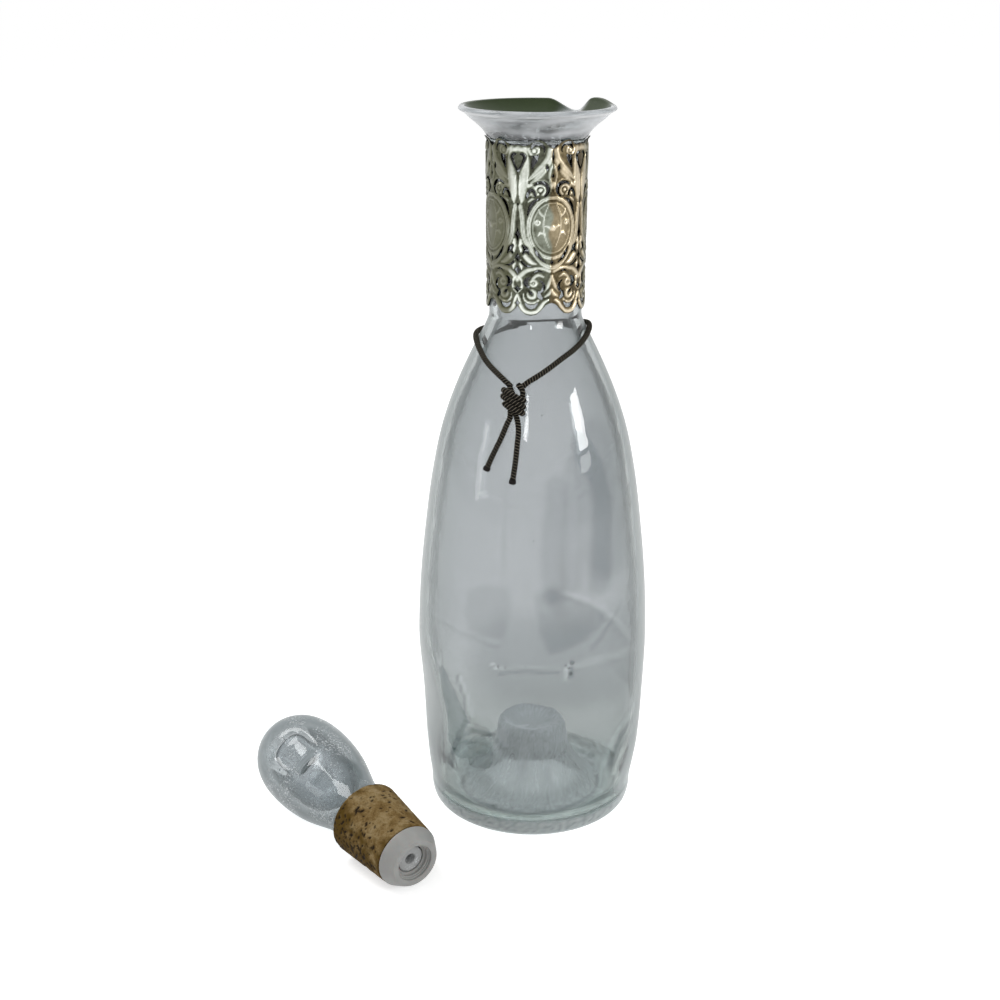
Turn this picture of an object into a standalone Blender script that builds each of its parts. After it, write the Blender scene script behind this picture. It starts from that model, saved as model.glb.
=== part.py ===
# A blown glass decanter with a flared, spouted mouth and a pinched body, a pierced metal
# collar round its neck, a knotted cord on its shoulder, and its stopper lying beside it.
# Metres, +Z up. The origin is on the table, at the middle of the set's footprint.

import math

import bmesh
import bpy
from mathutils import Matrix, Vector
from mathutils.geometry import delaunay_2d_cdt

TOUCH_GAP = 0.0003  # left between pieces that touch

# Cork, tapered, and how far up it stops in the neck
CORK_LENGTH = 0.0308
CORK_TOP_RADIUS = 0.0159
CORK_BOTTOM_RADIUS = 0.0134
CORK_EDGE = 0.0006
CORK_SEAT_SHARE = 0.80

# Glass bottle, heights added up from the table
BELLY_HEIGHT = 0.078
BELLY_RADIUS = 0.0488
SHOULDER_RISE = 0.140
NECK_LENGTH = 0.0690
NECK_WALL = 0.0033
NECK_TAPER = 0.0004
FLARE_RISE = 0.0130
LIP_RADIUS = 0.0311
LIP_WALL = 0.0030
BODY_WALL = 0.0030
HEEL_HEIGHT = 0.012
HEEL_RADIUS = 0.0437
HEEL_WALL = 0.0075
FOOT_OUTER_RADIUS = 0.0362
FOOT_INNER_RADIUS = 0.0326
FLOOR_THICKNESS = 0.0060
FLOOR_RADIUS = 0.0296
PUNT_HEIGHT = 0.0375
PUNT_CREST_RADIUS = 0.0128
PUNT_DISH_DEPTH = 0.0036
PUNT_GLASS = 0.0048
GLASS_SEGMENTS = 40

# Four finger dimples pressed into the hot body, and the pouring spout pulled in the lip
DIMPLE_COUNT = 4
DIMPLE_DEPTH = 0.0040
DIMPLE_BOTTOM = 0.010
DIMPLE_TOP = 0.084
DIMPLE_HALF_ANGLE = math.radians(44)
DIMPLE_TURN = math.radians(20)
DIMPLE_ARCH = 0.006
SPOUT_DROP = 0.0046
SPOUT_PULL = 0.0022
SPOUT_TURN = math.radians(151)
SPOUT_HALF_ANGLE = math.radians(21)
LIP_WAVE_RISE = 0.0013  # where the lip curls up beside the spout
LIP_WAVE_TURN = math.radians(125)
LIP_WAVE_HALF_ANGLE = math.radians(26)

# Pierced collar, a strip of stamped panels bent round the neck
COLLAR_SHEET = 0.0005
COLLAR_HEIGHT_SHARE = 0.9855  # of the neck's length
COLLAR_LIFT = 0.0027  # from the foot of the neck to the collar's lowest scallop
PANELS = 4.5
PANEL_AXIS_TURN = math.radians(18.5)
COLLAR_SEAM = 0.0006
SEAM_HALF_PANELS = 5  # from the seam to the panel's middle that PANEL_AXIS_TURN places
FOLDS_PER_PANEL = 5
CRESCENT_END_SHARE = 0.08  # how blunt a crescent's tips are

# Cord
CORD_DIAMETER = 0.0020
CORD_LIFT = 0.0003  # clear of the glass
KNOT_HALF_WIDTH = 0.0042
KNOT_HALF_DEPTH = 0.0020
KNOT_LENGTH = 0.0094
KNOT_STRAND_SPACING = 0.0026
KNOT_TILT = math.radians(24)
KNOT_WRAP_SHARE = 1.15  # how far apart the two wraps lie, of the cord's diameter
KNOT_WRAP_THICK_SHARE = 1.1  # the wraps' thickness, of the cord's
CORD_STEP_SHARE = 2.2  # the distance between the cord's rings, of its diameter

# Stopper, measured along its own axis from the outer end of its liner
LINER_FLANGE_LENGTH = 0.0064
LINER_FLANGE_RADIUS = 0.0133
LINER_END_RADIUS = 0.0106
LINER_WALL = 0.0014
LINER_RECESS_RADIUS = 0.0077
LINER_RECESS_DEPTH = 0.0014
LINER_STEP_DEPTH = 0.0012
STEM_RADIUS = 0.0056
STEM_BORE = 0.0022
STEM_INSET = 0.0036
FINIAL_LENGTH = 0.0727
FINIAL_RADIUS = 0.0200
FINIAL_NECK_RADIUS = 0.0119
FINIAL_WALL = 0.0052
BUBBLE_FOOT_SHARE = 1.5  # glass under the bubble, of the finial's wall
FINIAL_SEGMENTS = 28
FINIAL_DIMPLE_DEPTH = 0.0026
FINIAL_DIMPLE_HALF = 0.0105
FINIAL_DIMPLE_TURN = math.radians(40)
FINIAL_DIMPLE_COUNT = 4
FINIAL_DIMPLE_REACH_SHARE = 1.15
FINIAL_DIMPLE_EDGE_SHARE = 0.60

# Where the stopper lies, from the bottle's axis to the middle of its outer end
STOPPER_AWAY_X = -0.0454
STOPPER_AWAY_Y = -0.0838
STOPPER_TURN = math.radians(37.5)

# Worked out from the sizes above
NECK_BORE = CORK_BOTTOM_RADIUS + CORK_SEAT_SHARE * (CORK_TOP_RADIUS - CORK_BOTTOM_RADIUS)
NECK_RADIUS = NECK_BORE + NECK_WALL
NECK_FOOT = BELLY_HEIGHT + SHOULDER_RISE
FLARE_START = NECK_FOOT + NECK_LENGTH
RIM_HEIGHT = FLARE_START + FLARE_RISE
COLLAR_HEIGHT = NECK_LENGTH * COLLAR_HEIGHT_SHARE

# Outlines, as shares chosen by hand: how far along the height, and how far in radius
SHOULDER_SHARES = ((0.0, 1.0), (0.18, 0.966), (0.36, 0.884), (0.53, 0.775), (0.67, 0.635), (0.79, 0.440),
                   (0.87, 0.275), (0.925, 0.150), (0.965, 0.055), (1.0, 0.0))
LOWER_BODY_SHARES = ((0.0, 0.0), (0.13, 0.32), (0.28, 0.68), (0.46, 0.92), (0.70, 1.02), (1.0, 1.0))
FLARE_SHARES = ((0.0, 0.0), (0.13, 0.09), (0.28, 0.20), (0.44, 0.37), (0.62, 0.61), (0.80, 0.83),
                (1.0, 1.0))
HEEL_SHARES = ((0.0, 0.0), (0.05, 0.40), (0.27, 0.80), (0.62, 0.97), (1.0, 1.0))
PUNT_SIDE_SHARES = ((1.0, 1.0), (0.94, 1.12), (0.80, 1.19), (0.56, 1.32), (0.30, 1.62), (0.10, 2.05))
PUNT_DISH_SHARES = ((0.80, 0.30), (0.46, 0.88), (0.0, 1.0))  # share of the radius, and of the depth down
KICK_SHARES = ((0.05, 0.93),(0.14, 0.80), (0.30, 0.62), (0.56, 0.45), (0.80, 0.36), (0.94, 0.26),
               (1.0, 0.0))
FINIAL_SHARES = ((0.0, 0.0), (0.10, 0.07), (0.19, 0.25), (0.28, 0.50), (0.38, 0.76), (0.50, 0.94),
                 (0.625, 1.0))
FINIAL_END_SHARES = ((0.33, 0.965), (0.58, 0.86), (0.79, 0.66), (0.93, 0.39), (1.0, 0.0))
BUBBLE_SHARES = ((0.0, 0.0), (0.14, 0.42), (0.32, 0.78), (0.54, 0.97), (0.72, 0.97), (0.87, 0.76),
                 (0.96, 0.42))
DIMPLE_DEPTH_SHARES = (1.0, 0.85, 1.0, 0.9)
FINIAL_DIMPLE_SHARES = (1.0, 0.3, 0.5, 0.3)

# Each opening of the collar's half panel: shares of the half width from the panel's middle
# line to its edge, and of the height. Slits and crescents have widths as shares of the height.
COLLAR_TOP_SHARES = ((0.0, 0.952), (0.12, 0.964), (0.24, 0.988), (0.36, 1.0), (0.49, 1.0), (0.61, 0.985),
                     (0.74, 0.966), (1.0, 0.970))
COLLAR_FOOT_SHARES = ((0.0, 0.074), (0.16, 0.062), (0.30, 0.030), (0.44, 0.006), (0.60, 0.0), (0.76, 0.006),
                      (0.90, 0.030), (1.0, 0.056))
SLIT_SHARES = (((0.18, 0.862), (0.16, 0.828), 0.014), ((0.42, 0.920), (0.57, 0.838), 0.016),
               ((0.48, 0.660), (0.71, 0.575), 0.016), ((0.19, 0.300), (0.50, 0.392), 0.012),
               ((0.66, 0.284), (0.86, 0.306), 0.010))
CRESCENT_SHARES = (((0.42, 0.948), 0.034, 15, 160, 0.018), ((0.37, 0.722), 0.040, 45, 235, 0.016),
                   ((0.62, 0.193), 0.026, -80, 80, 0.017), ((0.42, 0.170), 0.036, 115, 255, 0.017),
                   ((0.60, 0.072), 0.031, 195, 345, 0.018))
TRIANGLE_SHARES = (((0.52, 0.706), (0.76, 0.684), (0.63, 0.730)),
                   ((0.66, 0.352), (0.84, 0.366), (0.80, 0.412)),
                   ((0.29, 0.105), (0.38, 0.100), (0.37, 0.142)))
SPEAR_SHARES = ((0.905, 0.080, 0.016), (0.800, 0.034, 0.022), (0.310, 0.040, 0.026))
EDGE_DIAMOND_SHARES = ((0.634, 0.022, 0.016), (0.462, 0.082, 0.034), (0.334, 0.044, 0.034),
                       (0.264, 0.046, 0.040), (0.156, 0.036, 0.040))
HEART_SHARES = (0.884, 0.088, 0.070)
HEART_OUTER_SHARES = ((-0.10, -0.50), (-0.42, -0.02), (-0.50, 0.26), (-0.30, 0.50), (0.0, 0.40),
                      (0.30, 0.50), (0.50, 0.26), (0.42, -0.02), (0.10, -0.50))
HEART_INNER_SHARES = ((0.26, 0.02), (0.30, 0.22), (0.20, 0.32), (0.0, 0.20), (-0.20, 0.32), (-0.30, 0.22),
                      (-0.26, 0.02))

# The cord's way, chosen by hand: degrees from the front towards +X, share of the shoulder's rise
LOOP_ROUTE_SHARES = ((-18.4, 0.833), (-22.5, 0.844), (-30.0, 0.860), (-43.0, 0.883), (-60.0, 0.911),
                     (-78.0, 0.929), (-97.0, 0.934), (-118.0, 0.933), (-140.0, 0.930), (-160.0, 0.930),
                     (-180.0, 0.933), (-200.0, 0.938), (-220.0, 0.945), (-240.0, 0.955), (-262.0, 0.963),
                     (-284.0, 0.959), (-303.0, 0.944), (-321.0, 0.924), (-336.0, 0.904), (-349.0, 0.880),
                     (-358.5, 0.860), (-365.0, 0.846), (-369.6, 0.834))
LEFT_TAIL_SHARES = ((-16.0, 0.751), (-17.2, 0.733), (-20.2, 0.691), (-23.6, 0.650), (-27.4, 0.599))
RIGHT_TAIL_SHARES = ((-10.4, 0.751), (-9.9, 0.729), (-9.8, 0.679), (-10.4, 0.629), (-11.6, 0.570))
KNOT_TURN = math.radians(-13.7)
KNOT_HEIGHT = 0.1889


def clear_scene():
    for obj in list(bpy.data.objects):
        bpy.data.objects.remove(obj, do_unlink=True)


def material(name, colour, roughness, metallic=0.0):
    mat = bpy.data.materials.new(name)
    mat.use_nodes = True
    shader = mat.node_tree.nodes["Principled BSDF"]
    shader.inputs["Base Color"].default_value = (*colour, 1.0)
    shader.inputs["Roughness"].default_value = roughness
    shader.inputs["Metallic"].default_value = metallic
    mat.diffuse_color = (*colour, 1.0)
    return mat


def object_from_bmesh(bm, name, mat, parent=None):
    mesh = bpy.data.meshes.new(name)
    bm.to_mesh(mesh)
    bm.free()
    mesh.shade_smooth()
    mesh.set_sharp_from_angle(angle=math.radians(40))
    obj = bpy.data.objects.new(name, mesh)
    obj.data.materials.append(mat)
    obj.parent = parent
    bpy.context.scene.collection.objects.link(obj)
    return obj


def smoothstep(value):
    value = min(1.0, max(0.0, value))
    return value * value * (3.0 - 2.0 * value)


def turned(profile, segments, closed=False):
    # A profile of (radius, height) points spun round Z. A closed one makes a ring.
    bm = bmesh.new()
    verts = [bm.verts.new((radius, 0.0, height)) for radius, height in profile]
    edges = [bm.edges.new(pair) for pair in zip(verts, verts[1:])]
    if closed:
        edges.append(bm.edges.new((verts[-1], verts[0])))
    bmesh.ops.spin(bm, geom=verts + edges, cent=(0.0, 0.0, 0.0), axis=(0.0, 0.0, 1.0),
                   angle=math.tau, steps=segments, use_merge=True)
    span = max(height for _, height in profile) - min(height for _, height in profile)
    bmesh.ops.remove_doubles(bm, verts=bm.verts, dist=span * 1e-5)
    bmesh.ops.recalc_face_normals(bm, faces=bm.faces)
    return bm


def turn_of(point):
    # Angle from the front, -Y, towards +X
    return math.atan2(point.x, -point.y)


def angle_between(a, b):
    return abs((a - b + math.pi) % math.tau - math.pi)


def traced(shares, start_radius, end_radius, start_height, end_height):
    # Profile points from (share of the height, share of the way from one radius to the other)
    return [(start_radius + share * (end_radius - start_radius),
             start_height + along * (end_height - start_height)) for along, share in shares]


def outer_profile():
    # From the heel up to the lip
    heel = traced(HEEL_SHARES, FOOT_OUTER_RADIUS, HEEL_RADIUS, 0.0, HEEL_HEIGHT)
    lower = traced(LOWER_BODY_SHARES, HEEL_RADIUS, BELLY_RADIUS, HEEL_HEIGHT, BELLY_HEIGHT)
    shoulder = traced(SHOULDER_SHARES, NECK_RADIUS, BELLY_RADIUS, BELLY_HEIGHT, NECK_FOOT)
    flare = traced(FLARE_SHARES, NECK_RADIUS + NECK_TAPER, LIP_RADIUS, FLARE_START, RIM_HEIGHT)
    return heel + lower[1:] + shoulder[1:] + flare[:-1]


def inner_profile():
    # From the lip down to the floor
    flare = traced(FLARE_SHARES, NECK_BORE, LIP_RADIUS - LIP_WALL, FLARE_START + LIP_WALL / 2,
                   RIM_HEIGHT - LIP_WALL / 3)
    shoulder = traced(SHOULDER_SHARES, NECK_BORE, BELLY_RADIUS - BODY_WALL, BELLY_HEIGHT,
                      NECK_FOOT - BODY_WALL / 2)
    floor_edge = FLOOR_THICKNESS + HEEL_WALL
    inner_heel = HEEL_RADIUS - HEEL_WALL + BODY_WALL
    lower = traced(LOWER_BODY_SHARES, inner_heel, BELLY_RADIUS - BODY_WALL, floor_edge, BELLY_HEIGHT)
    corner = [((inner_heel + FLOOR_RADIUS + BODY_WALL) / 2, FLOOR_THICKNESS + BODY_WALL / 2),
              (FLOOR_RADIUS, FLOOR_THICKNESS)]
    return flare[::-1] + shoulder[::-1] + lower[:-1][::-1] + corner


def punt_profile():
    # The inside of the kicked-up base, from its foot to the dish in its top
    side = [(PUNT_CREST_RADIUS * share, FLOOR_THICKNESS + along * (PUNT_HEIGHT - FLOOR_THICKNESS))
            for along, share in reversed(PUNT_SIDE_SHARES)]
    dish = [(PUNT_CREST_RADIUS * share, PUNT_HEIGHT - PUNT_DISH_DEPTH * down)
            for share, down in PUNT_DISH_SHARES]
    return side + dish


def kick_profile():
    # The hollow under the base, from its top at the axis out to the foot ring
    top = PUNT_HEIGHT - PUNT_DISH_DEPTH - PUNT_GLASS
    rise = [(FOOT_INNER_RADIUS * share, along * top) for along, share in reversed(KICK_SHARES)]
    return rise + [(FOOT_INNER_RADIUS, 0.0)]


def press_dimples(bm):
    for vert in bm.verts:
        radius = math.hypot(vert.co.x, vert.co.y)
        if radius <= FLOOR_RADIUS or not DIMPLE_BOTTOM < vert.co.z < DIMPLE_TOP:
            continue
        push = 0.0
        for index in range(DIMPLE_COUNT):
            middle_turn = DIMPLE_TURN + index * math.tau / DIMPLE_COUNT
            across = swell(turn_of(vert.co), middle_turn, DIMPLE_HALF_ANGLE)
            top = DIMPLE_TOP - DIMPLE_ARCH * (1.0 - across)
            middle = (DIMPLE_BOTTOM + top) / 2
            falling = smoothstep((top - vert.co.z) / (top - middle))
            rising = smoothstep((vert.co.z - DIMPLE_BOTTOM) / (middle - DIMPLE_BOTTOM))
            push += DIMPLE_DEPTH * DIMPLE_DEPTH_SHARES[index] * across * falling * rising
        shrink = (radius - push) / radius
        vert.co.x *= shrink
        vert.co.y *= shrink


def swell(turn, middle, half_angle):
    # 1 at the middle of a pulled or pressed place, falling to 0 at its sides
    apart = angle_between(turn, middle)
    return math.cos(math.pi / 2 * apart / half_angle) ** 2 if apart < half_angle else 0.0


def pull_spout(bm):
    for vert in bm.verts:
        up = (vert.co.z - FLARE_START) / FLARE_RISE
        if up <= 0.0:
            continue
        turn = turn_of(vert.co)
        pull = swell(turn, SPOUT_TURN, SPOUT_HALF_ANGLE) * up ** 1.5
        radius = math.hypot(vert.co.x, vert.co.y)
        grow = (radius + SPOUT_PULL * pull) / radius
        vert.co.x *= grow
        vert.co.y *= grow
        vert.co.z -= SPOUT_DROP * pull
        vert.co.z += LIP_WAVE_RISE * swell(turn, LIP_WAVE_TURN, LIP_WAVE_HALF_ANGLE) * up ** 2


def glass_body(parent):
    lip = [(LIP_RADIUS, RIM_HEIGHT - LIP_WALL / 3), (LIP_RADIUS - LIP_WALL * 0.25, RIM_HEIGHT),
           (LIP_RADIUS - LIP_WALL * 0.75, RIM_HEIGHT)]
    profile = kick_profile() + outer_profile() + lip + inner_profile() + punt_profile()
    bm = turned(profile, GLASS_SEGMENTS)
    press_dimples(bm)
    pull_spout(bm)
    return object_from_bmesh(bm, "glass_body", material("clear_glass", (0.78, 0.83, 0.82), 0.04), parent)


def glass_radius(height):
    # The round outside of the bottle at a height on its shoulder or neck
    points = outer_profile()
    for (radius, low), (next_radius, high) in zip(points, points[1:]):
        if low <= height <= high and high > low:
            return radius + (next_radius - radius) * (height - low) / (high - low)
    return LIP_RADIUS


def in_panel(share_across, share_up):
    # Half panel shares to flat sizes: along the strip from the panel's middle, and up
    half_panel = math.pi * NECK_RADIUS / PANELS
    return Vector((share_across * half_panel, share_up * COLLAR_HEIGHT))


def slit(start, end, width_share):
    a, b = in_panel(*start), in_panel(*end)
    side = (b - a).orthogonal().normalized() * (width_share * COLLAR_HEIGHT / 2)
    third = (b - a) / 3
    return [a, a + third + side, b - third + side, b, b - third - side, a + third - side]


def crescent(centre, radius_share, start_deg, end_deg, width_share):
    middle = in_panel(*centre)
    radius, width = radius_share * COLLAR_HEIGHT, width_share * COLLAR_HEIGHT
    steps = 4
    outer, inner = [], []
    for step in range(steps + 1):
        along = step / steps
        angle = math.radians(start_deg + (end_deg - start_deg) * along)
        direction = Vector((math.cos(angle), math.sin(angle)))
        half = width / 2 * math.sin(math.pi * (CRESCENT_END_SHARE + (1 - 2 * CRESCENT_END_SHARE) * along))
        outer.append(middle + direction * (radius + half))
        inner.append(middle + direction * (radius - half))
    return outer + list(reversed(inner))


def diamond(across_share, up_share, height_share, width_share):
    middle = in_panel(across_share, up_share)
    tall, wide = height_share * COLLAR_HEIGHT / 2, width_share * COLLAR_HEIGHT / 2
    return [middle + Vector((0.0, tall)), middle + Vector((-wide, 0.0)),
            middle + Vector((0.0, -tall)), middle + Vector((wide, 0.0))]


def heart():
    # A slot round three sides of a heart-shaped tongue
    up_share, height_share, width_share = HEART_SHARES
    middle = in_panel(1.0, up_share)
    return [middle + Vector((x * width_share * COLLAR_HEIGHT, y * height_share * COLLAR_HEIGHT))
            for x, y in HEART_OUTER_SHARES + HEART_INNER_SHARES]


def mirrored(points):
    return [Vector((-point.x, point.y)) for point in reversed(points)]


def panel_openings():
    # Openings of one panel, whose middle is at 0: those in both halves, then those on its axis
    half = [slit(*shares) for shares in SLIT_SHARES]
    half += [crescent(*shares) for shares in CRESCENT_SHARES]
    half += [[in_panel(*corner) for corner in corners] for corners in TRIANGLE_SHARES]
    axis = [diamond(0.0, *shares) for shares in SPEAR_SHARES]
    edge = [diamond(1.0, *shares) for shares in EDGE_DIAMOND_SHARES] + [heart()]
    return half, axis, edge


def edge_line(shares):
    return [in_panel(*pair) for pair in shares]


def flat_collar():
    # The strip laid flat: its outline and every opening, from one end to the other
    half_panel = in_panel(1.0, 0.0).x
    halves = round(2 * PANELS)
    length = halves * half_panel - COLLAR_SEAM
    top, foot = [], []
    openings = []
    half, axis, edge = panel_openings()
    for index in range(halves):
        # even halves run from a panel's edge to its middle, odd ones from the middle to the edge
        rising = index % 2 == 0
        origin = (index + 1) * half_panel if rising else index * half_panel
        sign = -1.0 if rising else 1.0

        def placed(points):
            if rising:
                points = mirrored(points)
            return [point + Vector((origin, 0.0)) for point in points]

        top_half, foot_half = edge_line(COLLAR_TOP_SHARES), edge_line(COLLAR_FOOT_SHARES)
        order = -1 if rising else 1
        for line, store in ((top_half, top), (foot_half, foot)):
            moved = [Vector((origin + sign * point.x, point.y)) for point in line][::order]
            store.extend(moved if not store else moved[1:])
        openings += [placed(points) for points in half]
        if rising and index + 1 < halves:
            openings += [[point + Vector((origin, 0.0)) for point in points] for points in axis]
        if not rising and index + 1 < halves:
            edge_at = Vector((index * half_panel, 0.0))
            openings += [[point + edge_at for point in points] for points in edge]
    low, high = COLLAR_SEAM / 2, length + COLLAR_SEAM / 2
    for line in (top, foot):
        line[0].x, line[-1].x = low, high
    return foot + top[::-1], openings, low, high


def inside(point, polygon):
    result = False
    for a, b in zip(polygon, polygon[1:] + polygon[:1]):
        if (a.y > point.y) != (b.y > point.y):
            if point.x < a.x + (point.y - a.y) * (b.x - a.x) / (b.y - a.y):
                result = not result
    return result


def neck_collar(parent):
    outline, openings, low, high = flat_collar()
    verts, edges = [], []
    for loop in [outline] + openings:
        start = len(verts)
        verts += loop
        edges += [(start + index, start + (index + 1) % len(loop)) for index in range(len(loop))]
    folds = round(FOLDS_PER_PANEL * PANELS)
    for index in range(1, folds):
        across = low + (high - low) * index / folds
        verts += [Vector((across, -COLLAR_SHEET)), Vector((across, COLLAR_HEIGHT + COLLAR_SHEET))]
        edges.append((len(verts) - 2, len(verts) - 1))
    flat, _, faces, _, _, _ = delaunay_2d_cdt(verts, edges, [], 0, COLLAR_SHEET * 1e-3)
    lift = NECK_FOOT + COLLAR_LIFT
    start_turn = PANEL_AXIS_TURN - SEAM_HALF_PANELS * math.pi / PANELS
    bm = bmesh.new()
    made = {}
    for face in faces:
        corners = [flat[index] for index in face]
        middle = sum(corners, Vector((0.0, 0.0))) / len(corners)
        if not inside(middle, outline) or any(inside(middle, hole) for hole in openings):
            continue
        for index in face:
            if index not in made:
                turn = start_turn + flat[index].x / NECK_RADIUS
                height = lift + flat[index].y
                radius = glass_radius(height) + TOUCH_GAP
                made[index] = bm.verts.new((radius * math.sin(turn), -radius * math.cos(turn), height))
        bm.faces.new([made[index] for index in face])
    bmesh.ops.recalc_face_normals(bm, faces=bm.faces)
    if sum(face.normal.dot(Vector((face.calc_center_median().x, face.calc_center_median().y, 0.0)))
           for face in bm.faces) < 0.0:
        bmesh.ops.reverse_faces(bm, faces=bm.faces)
    inner = list(bm.faces)
    grown = bmesh.ops.extrude_face_region(bm, geom=inner)
    for vert in [item for item in grown["geom"] if isinstance(item, bmesh.types.BMVert)]:
        outward = Vector((vert.co.x, vert.co.y, 0.0)).normalized()
        vert.co += outward * COLLAR_SHEET
    bmesh.ops.recalc_face_normals(bm, faces=bm.faces)
    metal = material("aged_brass", (0.62, 0.55, 0.38), 0.32, 1.0)
    return object_from_bmesh(bm, "neck_collar", metal, parent)


def on_glass(turn_degrees, height):
    # A point of the cord's centre line, one radius and a little off the glass
    turn = math.radians(turn_degrees)
    step = CORD_DIAMETER / 4
    slope = (glass_radius(height + step) - glass_radius(height - step)) / (2 * step)
    stretch = math.sqrt(1.0 + slope * slope)
    radius = glass_radius(height) + (CORD_DIAMETER / 2 + CORD_LIFT) * stretch
    return Vector((radius * math.sin(turn), -radius * math.cos(turn), height))


def smooth_route(points, spacing):
    # A smooth curve through the points, read off at about equal steps
    dense = []
    padded = [points[0] * 2 - points[1]] + points + [points[-1] * 2 - points[-2]]
    samples = 12
    for p0, p1, p2, p3 in zip(padded, padded[1:], padded[2:], padded[3:]):
        for step in range(samples):
            t = step / samples
            dense.append(((p1 * 2) + (p2 - p0) * t + (p0 * 2 - p1 * 5 + p2 * 4 - p3) * t * t
                          + (p1 * 3 - p0 - p2 * 3 + p3) * t ** 3) / 2)
    dense.append(points[-1])
    lengths = [0.0]
    for a, b in zip(dense, dense[1:]):
        lengths.append(lengths[-1] + (b - a).length)
    count = max(2, round(lengths[-1] / spacing))
    route = []
    index = 0
    for step in range(count + 1):
        along = lengths[-1] * step / count
        while index < len(dense) - 2 and lengths[index + 1] < along:
            index += 1
        part = (along - lengths[index]) / (lengths[index + 1] - lengths[index])
        route.append(dense[index].lerp(dense[index + 1], part))
    return route, lengths[-1]


def tube(name, points, mat, parent, cyclic=False):
    curve = bpy.data.curves.new(name, "CURVE")
    curve.dimensions = "3D"
    curve.bevel_depth = CORD_DIAMETER / 2
    curve.bevel_resolution = 2
    curve.use_fill_caps = True
    spline = curve.splines.new("POLY")
    spline.points.add(len(points) - 1)
    for slot, point in zip(spline.points, points):
        slot.co = (*point, 1.0)
    spline.use_cyclic_u = cyclic
    obj = bpy.data.objects.new(name, curve)
    curve.materials.append(mat)
    obj.parent = parent
    bpy.context.scene.collection.objects.link(obj)
    return obj


def cord_piece(name, route, mat, parent):
    route_points = [on_glass(turn, BELLY_HEIGHT + share * SHOULDER_RISE) for turn, share in route]
    points, length = smooth_route(route_points, CORD_DIAMETER * CORD_STEP_SHARE)
    tube(name, points, mat, parent)
    return length


def tube_bmesh(points, radius, sides, cyclic):
    # A plain tube of rings, used for the strands that the knot is fused from
    bm = bmesh.new()
    rings = []
    count = len(points)
    for index, point in enumerate(points):
        before = points[index - 1] if cyclic or index else point
        after = points[(index + 1) % count] if cyclic or index + 1 < count else point
        along = (after - before).normalized()
        side = along.cross(Vector((0.0, 0.0, 1.0))).normalized()
        other = along.cross(side)
        ring = []
        for k in range(sides):
            angle = math.tau * k / sides
            ring.append(bm.verts.new(point + (side * math.cos(angle) + other * math.sin(angle)) * radius))
        rings.append(ring)
    pairs = list(zip(rings, rings[1:])) + ([(rings[-1], rings[0])] if cyclic else [])
    for ring, following in pairs:
        for k in range(sides):
            bm.faces.new((ring[k], ring[(k + 1) % sides], following[(k + 1) % sides], following[k]))
    if not cyclic:
        bm.faces.new(rings[0])
        bm.faces.new(rings[-1])
    bmesh.ops.recalc_face_normals(bm, faces=bm.faces)
    return bm


def cord_knot(mat, parent):
    # Two strands down the middle and two wraps slanting round them, fused into one lump.
    # Modelled with X to the right, Y up the glass and Z off it, then laid on the shoulder.
    radius = CORD_DIAMETER / 2
    middle = radius + CORD_LIFT + KNOT_HALF_DEPTH
    strands = []
    for side in (-1, 1):
        x = side * KNOT_STRAND_SPACING / 2
        ends = [Vector((x, -KNOT_LENGTH / 2, middle)), Vector((x, KNOT_LENGTH / 2, middle))]
        strands.append(tube_bmesh(ends, radius, 8, False))
    for side in (-1, 1):
        ring = []
        for step in range(16):
            angle = math.tau * step / 16
            x, z = KNOT_HALF_WIDTH * math.cos(angle), KNOT_HALF_DEPTH * math.sin(angle)
            y = side * radius * KNOT_WRAP_SHARE - x * math.tan(KNOT_TILT)
            ring.append(Vector((x, y, middle + z)))
        strands.append(tube_bmesh(ring, radius * KNOT_WRAP_THICK_SHARE, 6, True))
    objects = [object_from_bmesh(bm, "cord_knot" if index == 0 else "knot_strand", mat, parent)
               for index, bm in enumerate(strands)]
    knot = objects[0]
    for tool in objects[1:]:
        tool.hide_render = True
        tool.display_type = "WIRE"
        union = knot.modifiers.new("fuse", "BOOLEAN")
        union.operation = "UNION"
        union.object = tool
    below, above = on_glass(math.degrees(KNOT_TURN), KNOT_HEIGHT - KNOT_LENGTH / 2), \
        on_glass(math.degrees(KNOT_TURN), KNOT_HEIGHT + KNOT_LENGTH / 2)
    up = (above - below).normalized()
    right = Vector((math.cos(KNOT_TURN), math.sin(KNOT_TURN), 0.0))
    out = right.cross(up)
    place = Matrix((right, up, out)).transposed().to_4x4()
    place.translation = (above + below) / 2 - out * (radius + CORD_LIFT)
    for obj in objects:
        obj.matrix_local = place
    return knot


def neck_cord(parent):
    mat = material("dark_braid", (0.045, 0.04, 0.035), 0.75)
    length = cord_piece("cord_loop", LOOP_ROUTE_SHARES, mat, parent)
    length += cord_piece("cord_tail_left", LEFT_TAIL_SHARES, mat, parent)
    length += cord_piece("cord_tail_right", RIGHT_TAIL_SHARES, mat, parent)
    cord_knot(mat, parent)
    print("cord outside its knot, metres:", round(length, 4))


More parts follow.
